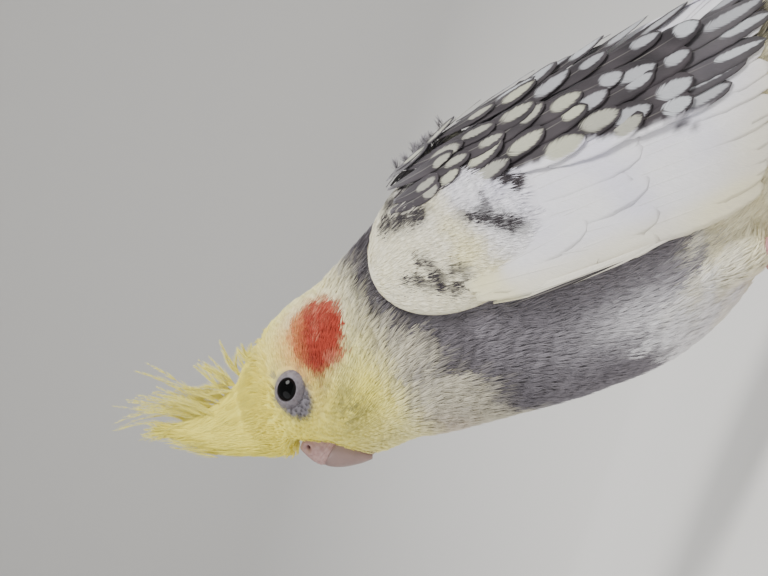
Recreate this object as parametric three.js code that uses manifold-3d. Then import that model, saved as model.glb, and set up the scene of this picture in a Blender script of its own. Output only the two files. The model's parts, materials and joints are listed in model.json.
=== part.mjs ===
// A cockatiel, a small crested parrot, standing with folded wings and its head bowed.
// Life size in millimetres: +X is forward, +Y is the bird's left, +Z is up, and the floor is z = 0.
import * as THREE from "three";
import { mergeVertices } from "three/addons/utils/BufferGeometryUtils.js";
import Module from "manifold-3d";

const wasm = await Module();
wasm.setup();

// Driving dimensions
const GAP = 0.3; // between neighbouring pieces
const BODY_SIDES = 24; // points round a section of the body
const BODY_STEPS = 2; // sections from one station to the next
const SEED = 11;

// Sections of the body from the tail root to the forehead. Back and belly are [x, z] in the
// middle plane, and half is the half width.
const BODY = [
  { name: "tail root", back: [-76, 32.5], belly: [-71, 18], half: 9 },
  { name: "tail coverts", back: [-69, 39], belly: [-56, 18], half: 11 },
  { name: "rump", back: [-60, 48.5], belly: [-36, 19], half: 14 },
  { name: "vent", back: [-49, 60], belly: [-14, 19.5], half: 18.5 },
  { name: "belly", back: [-35, 74.5], belly: [9, 20.8], half: 22 },
  { name: "loins", back: [-20, 89.5], belly: [29, 29.5], half: 24 },
  { name: "breast", back: [-4, 102], belly: [44, 44], half: 24 },
  { name: "shoulders", back: [12, 110.5], belly: [57, 60.5], half: 21.5 },
  { name: "neck", back: [28, 116.8], belly: [66.5, 73.5], half: 17.5 },
  { name: "nape", back: [42, 123.2], belly: [73.5, 84], half: 15 },
  { name: "cheeks", back: [53.4, 130.4], belly: [77, 88.5], half: 14.2 },
  { name: "crown", back: [66, 134.2], belly: [79.6, 92], half: 13.2 },
  { name: "poll", back: [77.5, 134.4], belly: [82, 96], half: 11.6 },
  { name: "brow", back: [87, 129.2], belly: [84.3, 101.5], half: 9 },
  { name: "forehead", back: [91, 120.2], belly: [86, 110], half: 5.2 },
];
const NECK_CUT = 7.8; // station numbers where the body is parted
const HEAD_CUT = 9.6;

// The surface that the folded wings lie on: the body, drawn out behind over the tail.
const WING_BED = [
  { name: "wing tips", back: [-122, 16], belly: [-116, 4], half: 8 },
  { name: "over the tail", back: [-94, 26.5], belly: [-86, 9], half: 10.5 },
  { name: "tail root", back: [-77.5, 34.5], belly: [-71, 15], half: 11.5 },
  ...BODY.slice(1, 10),
];

// Bill: a curved hook, and the lower jaw behind it. Back is the front edge here.
const BILL = [
  { name: "root", back: [87.2, 111.5], belly: [76.5, 109], half: 5 },
  { name: "bridge", back: [88.5, 106], belly: [76.5, 103.5], half: 5.4 },
  { name: "side", back: [87.6, 101.6], belly: [78.5, 99.5], half: 4.4 },
  { name: "hook", back: [85, 97.2], belly: [80.3, 96.6], half: 2.7 },
  { name: "point", back: [82.6, 94.4], belly: [81.2, 94.9], half: 0.9 },
];
const JAW = [
  { name: "root", back: [81.5, 102], belly: [73.5, 99.5], half: 4.3 },
  { name: "cup", back: [82, 98], belly: [75.5, 95.2], half: 3.7 },
  { name: "rim", back: [81.4, 94.6], belly: [78, 93.2], half: 2 },
];
const CERE = { at: [84.9, 0, 111.4], radii: [3.6, 5, 2.6] };
const NOSTRIL = { at: [86.1, 2.6, 112.9], radius: 0.8 };

const EYE = { at: [71.6, 119.2], radius: 4.6, depth: 3.5 };
const LID = { radius: 3.6, tube: 0.7 };

// Crest feathers, from the forehead (u = 0) back over the crown (u = 1).
const CREST = { count: 21, width: 2.3, thick: 0.8, root: [13.85, 11.7], spread: 4.2 };
const CREST_LENGTHS = [14, 22, 29, 35, 33, 27, 25, 19, 13, 9];
const CREST_ANGLES = [68, 70, 72, 74, 76, 80, 92, 110, 130, 150];

// Rows of wing feathers. Root and tip are [x, z] seen from the side, from the lowest feather of a
// row to the highest, with the height over the bed, the half width and the bow of each feather.
const WING_ROWS = [
  {
    name: "primaries",
    count: 6,
    root: [[29, 73], [27, 78], [23, 83]],
    tip: [[-106, 19.5], [-93, 25], [-74, 35]],
    lift: 2.1,
    width: 3.8,
    tilt: 0.08,
    bow: [-19, -13, -6],
    pointed: true,
    shares: [0, 0.3, 0.5, 0.68, 0.85, 1],
  },
  {
    name: "secondaries",
    count: 7,
    root: [[24, 70], [14, 80], [3, 92]],
    tip: [[-13.2, 30], [-33, 31], [-53, 43]],
    lift: 2.8,
    width: 4.9,
    bow: [-3, -3],
    shares: [0, 0.35, 0.65, 0.88, 1],
  },
  {
    name: "tertials",
    count: 3,
    root: [[4, 92], [3, 95], [2, 98]],
    tip: [[-50, 41.5], [-57, 44], [-62, 47]],
    lift: 3.3,
    width: 5,
    bow: [1, 1],
  },
  {
    name: "greater coverts",
    count: 7,
    root: [[29, 74], [20, 86], [9, 98]],
    tip: [[7, 47], [-9, 57], [-27, 71]],
    lift: 3.4,
    width: 4.6,
    bow: [-1, -1],
  },
  {
    name: "median coverts",
    count: 6,
    root: [[35, 79], [28, 93], [18, 104]],
    tip: [[20, 61], [7, 74], [-10, 87]],
    lift: 4.4,
    width: 4.8,
    bow: [0, 0],
  },
  {
    name: "lesser coverts",
    count: 5,
    root: [[38, 86], [37, 97], [28, 106]],
    tip: [[26.5, 73], [19, 84], [7, 100]],
    lift: 5.2,
    width: 4.6,
    bow: [0, 0],
  },
  {
    name: "upper scapulars",
    count: 3,
    root: [[28, 104], [25, 107], [22, 110]],
    tip: [[0, 87], [-4, 95], [-2, 103]],
    lift: 4.9,
    width: 5,
    bow: [1, 1],
  },
  {
    name: "lower scapulars",
    count: 4,
    root: [[6, 92], [5, 97], [4, 102]],
    tip: [[-30, 66], [-34, 74], [-28, 84]],
    lift: 4.1,
    width: 5.2,
    bow: [1, 1],
  },
];
// The folded arm, the pad that every wing feather is rooted in: an oval seen from the side.
const ARM = { at: [18.5, 90.5], long: 27, wide: 19.5, pitch: 38, thick: 5, rings: 4, sides: 16 };
const VANE_SINK = 1.5; // how far the feathers of the wing reach into the bed before it is cut away

const WING_TILT = 0.19; // each feather lies over the next lower one, like a roof tile

const TAIL = {
  pairs: 6,
  root: -70,
  lengths: [144, 133, 120, 107, 94, 82],
  middleY: 1.7,
  sideY: [4.7, 0.95],
  width: 4.4,
  layer: 0.85,
  rootHeight: 23.5,
  floorX: -146,
};
const TAIL_CORE = [
  { name: "root", back: [-76.3, 32.4], belly: [-71.3, 17.9], half: 8.8 },
  { name: "middle", back: [-86, 27.5], belly: [-84, 16.2], half: 7.2 },
  { name: "end", back: [-99, 19.5], belly: [-99, 13.8], half: 3.4 },
];
const TAIL_COVERTS = { count: 5, above: 33, below: 38, width: 4.4 };

// Left leg. The right one mirrors it.
const LEG = { hip: [10, 12, 36], ankle: [-1, 13.5, 21.5], foot: [9, 14.5] };
const THIGH_RADII = [11, 7.5, 3.6];
const SHANK_RADII = [2.5, 2, 2.1, 2.6];
const PALM = { radius: 3.5, height: 2.6 };
const TOE_HEIGHT = 1.75; // of a toe's middle line over the floor
const TOES = [
  { name: "front_outer", angle: 17, length: 19, claw: 7.2 },
  { name: "front_inner", angle: -19, length: 13.5, claw: 6 },
  { name: "back_outer", angle: 152, length: 16, claw: 6.6 },
  { name: "back_inner", angle: -158, length: 10.5, claw: 5.6 },
];
const TOE_RADIUS = 2.05;
const CLAW_RADIUS = 1.15;

const COLOURS = {
  yellow: 0xe6dc82,
  cream: 0xe9e4c8,
  grey: 0x77737a,
  white: 0xe8e6e6,
  horn: 0xb9a3a0,
  pink: 0xc99a98,
  eye: 0x0c0b0b,
  claw: 0x5a4a45,
};

// A seeded stream of numbers from 0 to 1.
function stream(seed) {
  let state = seed;
  return () => {
    state = (state + 0x6d2b79f5) | 0;
    let t = Math.imul(state ^ (state >>> 15), 1 | state);
    t = (t + Math.imul(t ^ (t >>> 7), 61 | t)) ^ t;
    return ((t ^ (t >>> 14)) >>> 0) / 4294967296;
  };
}

// A smooth curve through evenly spaced values, read at t from 0 to their last index.
function spline(values, t) {
  const last = values.length - 1;
  const i = Math.min(Math.max(Math.floor(t), 0), last - 1);
  const f = t - i;
  const b = values[i];
  const c = values[i + 1];
  const a = i > 0 ? values[i - 1] : 2 * b - c;
  const d = i + 2 <= last ? values[i + 2] : 2 * c - b;
  return b + 0.5 * f * (c - a + f * (2 * a - 5 * b + 4 * c - d + f * (3 * (b - c) + d - a)));
}

function between(values, u) {
  return spline(values, u * (values.length - 1));
}

// A closed solid from rings of points that run round it in the same sense, with flat ends.
function solidOfRings(rings) {
  const sides = rings[0].length;
  const positions = rings.flat().flatMap((p) => [p.x, p.y, p.z]);
  const faces = [];
  for (let r = 0; r + 1 < rings.length; r += 1) {
    for (let i = 0; i < sides; i += 1) {
      const j = (i + 1) % sides;
      const [a, b, c, d] = [r * sides + i, r * sides + j, (r + 1) * sides + j, (r + 1) * sides + i];
      faces.push(a, b, c, a, c, d);
    }
  }
  const end = (rings.length - 1) * sides;
  for (let i = 1; i + 1 < sides; i += 1) {
    faces.push(0, i + 1, i, end, end + i, end + i + 1);
  }
  return solidOfFaces(positions, faces);
}

function solidOfFaces(positions, faces) {
  const solid = new wasm.Manifold(
    new wasm.Mesh({
      numProp: 3,
      vertProperties: new Float32Array(positions),
      triVerts: new Uint32Array(faces),
    }),
  );
  if (solid.volume() > 0) return solid;
  const turned = [];
  for (let i = 0; i < faces.length; i += 3) turned.push(faces[i], faces[i + 2], faces[i + 1]);
  return new wasm.Manifold(
    new wasm.Mesh({
      numProp: 3,
      vertProperties: new Float32Array(positions),
      triVerts: new Uint32Array(turned),
    }),
  );
}

// A three.js geometry as a solid.
function solidOf(geometry) {
  const bare = geometry.clone();
  bare.deleteAttribute("normal");
  bare.deleteAttribute("uv");
  const merged = mergeVertices(bare, 1e-4);
  return solidOfFaces(merged.attributes.position.array, merged.index.array);
}

function ball([x, y, z], radii, grow = 0, detail = 14) {
  const geometry = new THREE.SphereGeometry(1, detail, Math.round(detail / 2));
  geometry.scale(radii[0] + grow, radii[1] + grow, radii[2] + grow);
  geometry.translate(x, y, z);
  return solidOf(geometry);
}

// Rings with one more at each end, pushed out along the body's line there.
function grown(rings, first, last, grow) {
  if (grow === 0) return rings;
  const moved = (ring, along, by) => ring.map((p) => p.clone().addScaledVector(along, by));
  return [moved(rings[0], first, -grow), ...rings, moved(rings[rings.length - 1], last, grow)];
}

// A body drawn by its back line, its belly line and its width.
class Outline {
  constructor(stations) {
    this.stations = stations;
    this.last = stations.length - 1;
  }

  // Middle, half height vector and half width of the section at t, all in the middle plane.
  section(t) {
    const read = (key, axis) =>
      spline(
        this.stations.map((s) => s[key][axis]),
        t,
      );
    const back = new THREE.Vector3(read("back", 0), 0, read("back", 1));
    const belly = new THREE.Vector3(read("belly", 0), 0, read("belly", 1));
    const half = spline(
      this.stations.map((s) => s.half),
      t,
    );
    return {
      middle: back.clone().add(belly).multiplyScalar(0.5),
      up: back.sub(belly).multiplyScalar(0.5),
      half,
    };
  }

  // The plane of a section: its unit normal towards the head, and its distance from the origin.
  plane(t) {
    const { middle, up } = this.section(t);
    const normal = new THREE.Vector3(up.z, 0, -up.x).normalize();
    return { normal, offset: normal.dot(middle) };
  }

  point(t, angle, grow = 0) {
    const { middle, up, half } = this.section(t);
    const tall = up.length();
    return middle
      .add(up.multiplyScalar(((tall + grow) / tall) * Math.cos(angle)))
      .add(new THREE.Vector3(0, (half + grow) * Math.sin(angle), 0));
  }

  normal(t, angle) {
    const step = 0.05;
    const along = this.point(t + step, angle).sub(this.point(t - step, angle));
    const round = this.point(t, angle + step).sub(this.point(t, angle - step));
    return along.cross(round).normalize();
  }

  // The place on the left side that is seen at [x, z] from the side, raised by lift.
  place(x, z, lift = 0) {
    let [low, high] = [0, this.last];
    const seen = new THREE.Vector3(x, 0, z);
    for (let i = 0; i < 30; i += 1) {
      const t = (low + high) / 2;
      const { normal, offset } = this.plane(t);
      if (normal.dot(seen) > offset) low = t;
      else high = t;
    }
    const t = (low + high) / 2;
    const { middle, up } = this.section(t);
    const share = THREE.MathUtils.clamp(seen.sub(middle).dot(up) / up.lengthSq(), -0.99, 0.985);
    const angle = Math.acos(share);
    const normal = this.normal(t, angle);
    return { at: this.point(t, angle).addScaledVector(normal, lift), normal };
  }

  solid({ sides = BODY_SIDES, steps = BODY_STEPS, grow = 0 } = {}) {
    const rings = [];
    for (let i = 0; i <= this.last * steps; i += 1) {
      const ring = [];
      for (let j = 0; j < sides; j += 1) ring.push(this.point(i / steps, (j / sides) * 2 * Math.PI, grow));
      rings.push(ring);
    }
    return solidOfRings(grown(rings, this.plane(0).normal, this.plane(this.last).normal, grow));
  }
}

// A round limb along points, with a radius at each one.
function limb(points, radii, sides = 12, steps = 3, grow = 0) {
  const curve = new THREE.CatmullRomCurve3(points);
  const count = (points.length - 1) * steps;
  const rings = [];
  for (let i = 0; i <= count; i += 1) {
    const u = i / count;
    const along = curve.getTangent(u);
    const side = new THREE.Vector3(0, 0, 1).cross(along);
    if (side.lengthSq() < 1e-6) side.set(0, 1, 0);
    side.normalize();
    const over = along.clone().cross(side);
    const radius = between(radii, u) + grow;
    const ring = [];
    for (let j = 0; j < sides; j += 1) {
      const a = (j / sides) * 2 * Math.PI;
      ring.push(
        curve
          .getPoint(u)
          .addScaledVector(side, radius * Math.cos(a))
          .addScaledVector(over, radius * Math.sin(a)),
      );
    }
    rings.push(ring);
  }
  return solidOfRings(grown(rings, curve.getTangent(0), curve.getTangent(1), grow));
}

// Half width of a vane at t from 0 at its root to 1 at its tip, as a share of the widest.
function vaneShape(t, pointed) {
  const shoulder = pointed ? 0.45 : 0.62;
  if (t < shoulder) return 0.45 + 0.55 * Math.sin((t / shoulder) * (Math.PI / 2));
  const past = (t - shoulder) / (1 - shoulder);
  return Math.max(0.16, pointed ? 1 - past ** 1.6 : Math.sqrt(1 - past ** 2.4));
}

// One feather as a bowed blade with a raised shaft. Its spine gives the place and the normal at t
// from 0 to 1. A thin blade has both faces split alike. One with a depth reaches down to a flat
// underside, for feathers that lie on others.
function vane({ spine, width, pointed = false, tilt = 0, camber = 0.02, thick = 0.6, depth, shares }) {
  const rings = shares.map((t) => {
    const step = 0.04;
    const { at, normal } = spine(t);
    const along = spine(Math.min(t + step, 1))
      .at.clone()
      .sub(spine(Math.max(t - step, 0)).at)
      .normalize();
    const across = along.clone().cross(normal).normalize();
    const up = across.clone().cross(along).normalize();
    const half = width * vaneShape(t, pointed);
    const top = (side, rise) =>
      at
        .clone()
        .addScaledVector(across, side * half)
        .addScaledVector(up, rise + side * half * tilt);
    const [edge, shaft] = [thick * 0.5 - camber * half * half, thick * 0.7];
    if (depth !== undefined) {
      const under = (side) => at.clone().addScaledVector(across, side * half).addScaledVector(up, -depth);
      return [top(-1, edge), top(0, shaft), top(1, edge), under(1), under(-1)];
    }
    return [
      top(-1, edge),
      top(0, shaft),
      top(1, edge),
      top(1, edge - thick),
      top(0, shaft - 1.4 * thick),
      top(-1, edge - thick),
    ];
  });
  if (depth !== undefined) return solidOfRings(rings);
  const positions = rings.flat().flatMap((p) => [p.x, p.y, p.z]);
  const faces = [];
  const quad = (a, b, c, d) => faces.push(a, b, c, a, c, d);
  for (let r = 0; r + 1 < rings.length; r += 1) {
    const [p, q] = [r * 6, (r + 1) * 6];
    quad(p, q, q + 1, p + 1);
    quad(p + 1, q + 1, q + 2, p + 2);
    quad(p + 2, q + 2, q + 3, p + 3);
    quad(q + 3, q + 4, p + 4, p + 3);
    quad(q + 4, q + 5, p + 5, p + 4);
    quad(p + 5, q + 5, q, p);
  }
  const tip = (rings.length - 1) * 6;
  quad(0, 1, 4, 5);
  quad(1, 2, 3, 4);
  quad(tip, tip + 5, tip + 4, tip + 1);
  quad(tip + 1, tip + 4, tip + 3, tip + 2);
  return solidOfFaces(positions, faces);
}

// The pieces fused, keeping the largest closed surface.
function fuse(pieces) {
  return largest(wasm.Manifold.union(pieces));
}

function largest(solid) {
  return solid.decompose().reduce((a, b) => (b.volume() > a.volume() ? b : a));
}

function mirrored(solid) {
  return solid.mirror([0, 1, 0]);
}

function trimmed(solid, plane, towardsHead) {
  const sign = towardsHead ? 1 : -1;
  const { x, y, z } = plane.normal;
  return solid.trimByPlane([sign * x, sign * y, sign * z], sign * plane.offset + GAP / 2);
}

const body = new Outline(BODY);
const bed = new Outline(WING_BED);
const bill = new Outline(BILL);
const jaw = new Outline(JAW);
const tailCore = new Outline(TAIL_CORE);

// Crest: narrow feathers in a fan that lean forward at the front and back at the rear.
function crestFeathers() {
  const random = stream(SEED);
  const feathers = [];
  for (let i = 0; i < CREST.count; i += 1) {
    const u = i / (CREST.count - 1);
    const t = THREE.MathUtils.lerp(CREST.root[0], CREST.root[1], u ** 0.9);
    const lean = ((i % 3) - 1) * CREST.spread * (0.55 + 0.45 * random());
    const root = body.point(t, Math.asin(THREE.MathUtils.clamp(lean / 13, -0.6, 0.6)), -2.2);
    const turn = THREE.MathUtils.degToRad(between(CREST_ANGLES, u) + 7 * (random() - 0.5));
    const length = between(CREST_LENGTHS, u) * (0.86 + 0.2 * random()) + 2.2;
    const along = new THREE.Vector3(Math.cos(turn), 0, Math.sin(turn));
    const curl = new THREE.Vector3(-Math.sin(turn), 0, Math.cos(turn));
    const bend = (u < 0.45 ? -0.1 : 0.12) * length;
    const rings = [0, 0.55, 1].map((s) => {
      const middle = root
        .clone()
        .addScaledVector(along, length * s)
        .addScaledVector(curl, bend * s * s)
        .add(new THREE.Vector3(0, -0.45 * lean * s, 0));
      const half = CREST.width * (1 - 0.82 * s ** 1.5);
      return [0, 1, 2].map((corner) => {
        const a = (corner / 3) * 2 * Math.PI;
        return middle
          .clone()
          .addScaledVector(curl, half * Math.cos(a))
          .add(new THREE.Vector3(0, CREST.thick * (1 - 0.6 * s) * Math.sin(a), 0));
      });
    });
    feathers.push(solidOfRings(rings));
  }
  return feathers;
}

function eyeFrame() {
  return body.place(EYE.at[0], EYE.at[1]);
}

function eyeball(grow = 0) {
  const { at, normal } = eyeFrame();
  const middle = at.addScaledVector(normal, -EYE.depth);
  return ball(middle.toArray(), [EYE.radius, EYE.radius, EYE.radius], grow, 14);
}

// The bare ring of the lids, round the opening of the eye.
function lidRing() {
  const { at, normal } = eyeFrame();
  const geometry = new THREE.TorusGeometry(LID.radius, LID.tube, 5, 14);
  geometry.scale(1.08, 0.95, 1);
  const turn = new THREE.Quaternion().setFromUnitVectors(new THREE.Vector3(0, 0, 1), normal);
  geometry.applyQuaternion(turn);
  geometry.translate(at.x, at.y, at.z);
  return solidOf(geometry);
}

function cereSolid(grow = 0) {
  return ball(CERE.at, CERE.radii, grow, 12);
}

function nostril(side) {
  const [x, y, z] = NOSTRIL.at;
  const { radius } = NOSTRIL;
  return ball([x, side * y, z], [radius, radius, radius], 0, 6);
}

// A feather between two places seen from the side, over the bed of the wing.
function wingFeather(row, u, random, shares) {
  const root = [between(row.root.map((p) => p[0]), u), between(row.root.map((p) => p[1]), u)];
  const tip = [between(row.tip.map((p) => p[0]), u), between(row.tip.map((p) => p[1]), u)];
  tip[0] += 1.6 * (random() - 0.5);
  tip[1] += 1.2 * (random() - 0.5);
  const [dx, dz] = [tip[0] - root[0], tip[1] - root[1]];
  const size = Math.hypot(dx, dz);
  const spine = (s) => {
    const sway = between(row.bow, u) * 4 * s * (1 - s);
    const x = root[0] + dx * s + (dz / size) * -sway;
    const z = root[1] + dz * s + (dx / size) * sway;
    return bed.place(x, z, THREE.MathUtils.lerp(1.6, row.lift, THREE.MathUtils.smoothstep(s, 0, 0.35)));
  };
  const width = row.width * (0.94 + 0.12 * random());
  const depth = row.lift + VANE_SINK;
  const tilt = row.tilt ?? WING_TILT;
  return vane({ spine, width, pointed: Boolean(row.pointed), tilt, depth, shares });
}

// The arm's pad, an oval lens over the bed.
function armPad() {
  const pitch = THREE.MathUtils.degToRad(ARM.pitch);
  const rings = [];
  for (let r = 0; r <= ARM.rings * 2; r += 1) {
    const turn = (r / (ARM.rings * 2)) * Math.PI;
    const share = Math.max(Math.sin(turn), 0.02);
    const above = turn < Math.PI / 2;
    const ring = [];
    for (let i = 0; i < ARM.sides; i += 1) {
      const a = (i / ARM.sides) * 2 * Math.PI;
      const [p, q] = [ARM.long * share * Math.cos(a), ARM.wide * share * Math.sin(a)];
      const x = ARM.at[0] + p * Math.cos(pitch) - q * Math.sin(pitch);
      const z = ARM.at[1] + p * Math.sin(pitch) + q * Math.cos(pitch);
      const bulge = Math.abs(Math.cos(turn)) ** 0.8;
      ring.push(bed.place(x, z, above ? ARM.thick * bulge : -VANE_SINK * bulge).at);
    }
    rings.push(ring);
  }
  return solidOfRings(rings);
}

function wing(seed) {
  const random = stream(seed);
  const pieces = [armPad()];
  for (const row of WING_ROWS) {
    const shares = row.shares ?? [0, 0.5, 0.85, 1];
    for (let i = 0; i < row.count; i += 1) {
      pieces.push(wingFeather(row, i / (row.count - 1), random, shares));
    }
  }
  return wasm.Manifold.union(pieces);
}

// Height of the lowest tail feather over the floor at x: it comes down behind and then lies flat.
function tailHeight(x) {
  const share = THREE.MathUtils.clamp((x - TAIL.floorX) / (TAIL.root - TAIL.floorX), 0, 1);
  return 0.35 + (TAIL.rootHeight - 0.35) * share ** 1.35;
}

// How far a feather lies over the lowest one at x. Each one rests on the next outer pair as far as
// that pair reaches, and then comes down.
function tailLayer(pair, x) {
  let layer = 0;
  for (let under = pair + 1; under < TAIL.pairs; under += 1) {
    const tip = TAIL.root - TAIL.lengths[under];
    layer += TAIL.layer * THREE.MathUtils.smoothstep(x, tip - 16, tip);
  }
  return layer;
}

function tailFeather(pair, side) {
  const length = TAIL.lengths[pair];
  const y = pair === 0 ? TAIL.middleY : TAIL.sideY[0] + TAIL.sideY[1] * (pair - 1);
  const spine = (s) => {
    const x = TAIL.root - 6 - (length - 6) * s;
    const over = pair === 0 && side > 0 ? TAIL.layer : 0;
    const z = tailHeight(x) + tailLayer(pair, x) + over * (1 - s);
    const spread = 0.7 + 0.3 * Math.sin((s * Math.PI) / 2);
    return { at: new THREE.Vector3(x, side * y * spread, z), normal: new THREE.Vector3(0, 0, 1) };
  };
  return vane({
    spine,
    width: TAIL.width,
    pointed: true,
    camber: 0.01,
    thick: 0.5,
    shares: [0, 0.3, 0.55, 0.8, 1],
  });
}

// Short feathers that cover the tail's root above or below.
function tailCovert(i, above) {
  const u = i / (TAIL_COVERTS.count - 1);
  const y = (u - 0.5) * 13;
  const length = (above ? TAIL_COVERTS.above : TAIL_COVERTS.below) * (1 - 0.5 * Math.abs(u - 0.5));
  const sign = above ? 1 : -1;
  const spine = (s) => {
    const x = TAIL.root - 9 - length * s;
    const middle = tailHeight(x) + 2.4;
    const rise = above ? 5.4 - 3.2 * s : 3.6 - 1.1 * s;
    const round = 1 - ((y * y) / 80) * (1 - s * 0.5);
    return {
      at: new THREE.Vector3(x, y * (1 - 0.25 * s), middle + sign * rise * round),
      normal: new THREE.Vector3(0, 0.09 * y, sign).normalize(),
    };
  };
  return vane({ spine, width: TAIL_COVERTS.width, camber: 0.02, shares: [0, 0.6, 1] });
}

function tailSolid() {
  const pieces = [tailCore.solid({ sides: 16 })];
  for (let pair = 0; pair < TAIL.pairs; pair += 1) {
    pieces.push(tailFeather(pair, 1), tailFeather(pair, -1));
  }
  for (let i = 0; i < TAIL_COVERTS.count; i += 1) {
    pieces.push(tailCovert(i, true), tailCovert(i, false));
  }
  const front = body.plane(0);
  const { x, y, z } = front.normal;
  return largest(
    wasm.Manifold.union(pieces)
      .trimByPlane([0, 0, 1], 0)
      .trimByPlane([-x, -y, -z], -front.offset + GAP),
  );
}

function thigh(grow = 0) {
  const [hip, ankle] = [new THREE.Vector3(...LEG.hip), new THREE.Vector3(...LEG.ankle)];
  const middle = hip.clone().lerp(ankle, 0.55);
  return limb([hip, middle, ankle], THIGH_RADII, 16, 3, grow);
}

function ankleAxis() {
  return new THREE.Vector3(...LEG.ankle).sub(new THREE.Vector3(...LEG.hip)).normalize();
}

function palm(grow = 0) {
  const [x, y] = LEG.foot;
  return ball([x, y, PALM.height], [PALM.radius, PALM.radius, PALM.height + 0.4], grow, 10);
}

function shank() {
  const top = new THREE.Vector3(...LEG.ankle).addScaledVector(ankleAxis(), GAP);
  const [x, y] = LEG.foot;
  const points = [
    top,
    new THREE.Vector3(top.x - 0.4, top.y, top.z - 3),
    new THREE.Vector3((top.x + x) / 2, y, top.z / 2 + 0.5),
    new THREE.Vector3(x, y, PALM.height),
  ];
  return limb(points, SHANK_RADII, 10, 3);
}

function toeFrame({ angle, length }) {
  const turn = THREE.MathUtils.degToRad(angle);
  const along = new THREE.Vector3(Math.cos(turn), Math.sin(turn), 0);
  const start = new THREE.Vector3(...LEG.foot, TOE_HEIGHT);
  return { along, start, end: start.clone().addScaledVector(along, length) };
}

function toe(spec, grow = 0) {
  const { along, start, end } = toeFrame(spec);
  const knuckle = (share, rise) =>
    start
      .clone()
      .addScaledVector(along, spec.length * share)
      .add(new THREE.Vector3(0, 0, rise));
  return limb(
    [start, knuckle(0.3, 0.35), knuckle(0.55, 0), knuckle(0.8, 0.25), end],
    [TOE_RADIUS * 0.95, TOE_RADIUS * 1.05, TOE_RADIUS * 0.9, TOE_RADIUS, TOE_RADIUS * 0.72],
    8,
    1,
    grow,
  );
}

function claw(spec) {
  const { along, end } = toeFrame(spec);
  const at = (share, rise) =>
    end
      .clone()
      .addScaledVector(along, GAP - 1 + (spec.claw + 1) * share)
      .add(new THREE.Vector3(0, 0, rise));
  return limb(
    [at(0, 0.1), at(0.35, 0.75), at(0.7, 0.35), at(1, -1.2)],
    [CLAW_RADIUS, CLAW_RADIUS * 0.85, CLAW_RADIUS * 0.55, 0.22],
    7,
    1,
  )
    .trimByPlane([0, 0, 1], 0)
    .trimByPlane(along.toArray(), along.dot(end) + GAP);
}

function foot(grow = 0) {
  return fuse([palm(grow), ...TOES.map((spec) => toe(spec, grow))]).trimByPlane([0, 0, 1], 0);
}

const bird = new THREE.Group();

// A solid as a named mesh.
function show(name, solid, colour, roughness = 0.9) {
  const mesh = largest(solid).getMesh();
  const geometry = new THREE.BufferGeometry();
  geometry.setAttribute("position", new THREE.BufferAttribute(mesh.vertProperties, mesh.numProp));
  geometry.setIndex(new THREE.BufferAttribute(mesh.triVerts, 1));
  geometry.computeVertexNormals();
  const material = new THREE.MeshStandardMaterial({ color: colour, roughness, metalness: 0 });
  const shown = new THREE.Mesh(geometry, material);
  shown.name = name;
  bird.add(shown);
}

// The trunk, parted into head, neck and torso.
const whole = body.solid();
const grownWhole = body.solid({ grow: GAP });
const neckPlane = body.plane(NECK_CUT);
const headPlane = body.plane(HEAD_CUT);
const billSolid = bill.solid({ sides: 16 });
const grownBill = bill.solid({ sides: 16, grow: GAP });
const cereFree = cereSolid().subtract(grownBill).subtract(nostril(1)).subtract(nostril(-1));
const jawFree = jaw.solid({ sides: 14 }).subtract(grownBill);
const grownJaw = jaw.solid({ sides: 14, grow: GAP });
const [eyeLeft, socketLeft] = [eyeball(), eyeball(GAP)];

const skull = fuse([trimmed(whole, headPlane, true), lidRing(), mirrored(lidRing()), ...crestFeathers()]);
const head = [grownBill, cereSolid(GAP), grownJaw, socketLeft, mirrored(socketLeft)].reduce(
  (solid, cutter) => solid.subtract(cutter),
  skull,
);
show("head", head, COLOURS.yellow);
show("neck", trimmed(trimmed(whole, headPlane, false), neckPlane, true), COLOURS.cream);
const torso = trimmed(whole, neckPlane, false);
show("torso", torso, COLOURS.grey);

show("cere", cereFree, COLOURS.pink, 0.6);
show("beak_upper", billSolid, COLOURS.horn, 0.4);
show("beak_lower", jawFree, COLOURS.horn, 0.4);
show("eye_left", eyeLeft, COLOURS.eye, 0.08);
show("eye_right", mirrored(eyeLeft), COLOURS.eye, 0.08);

const tail = tailSolid();
show("tail", tail, COLOURS.cream);

const grownThigh = thigh(GAP);
const grownBed = bed.solid({ grow: GAP });
const leftHalf = (solid) => solid.trimByPlane([0, 1, 0], GAP);
const wingCutters = [grownWhole, grownBed, grownThigh];
const cutWing = (solid) => leftHalf(wingCutters.reduce((rest, cutter) => rest.subtract(cutter), solid));
const wingLeft = cutWing(wing(SEED + 1));
const wingRight = cutWing(wing(SEED + 2));
show("wing_left", wingLeft, COLOURS.white);
show("wing_right", mirrored(wingRight), COLOURS.white);

const thighLeft = thigh().subtract(grownWhole);
const footLeft = foot();
const shankLeft = shank().subtract(foot(GAP)).subtract(grownThigh);
for (const [side, turn] of [
  ["left", (solid) => solid],
  ["right", mirrored],
]) {
  show(`thigh_${side}`, turn(thighLeft), COLOURS.cream);
  show(`shank_${side}`, turn(shankLeft), COLOURS.pink, 0.7);
  show(`foot_${side}`, turn(footLeft), COLOURS.pink, 0.7);
  for (const spec of TOES) show(`claw_${side}_${spec.name}`, turn(claw(spec)), COLOURS.claw, 0.4);
}

// The origin goes on the floor, under the middle of the bird's box.
const box = new THREE.Box3().setFromObject(bird);
bird.position.set(-(box.min.x + box.max.x) / 2, -(box.min.y + box.max.y) / 2, -box.min.z);

export default bird;
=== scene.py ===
"""A life-size cockatiel with folded wings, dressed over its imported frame.

The sizes are in millimetres, in the bird's own drawing: X forward, Y to its left, Z up, with the floor
at zero. The left foot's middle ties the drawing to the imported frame.
"""

from __future__ import annotations

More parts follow.
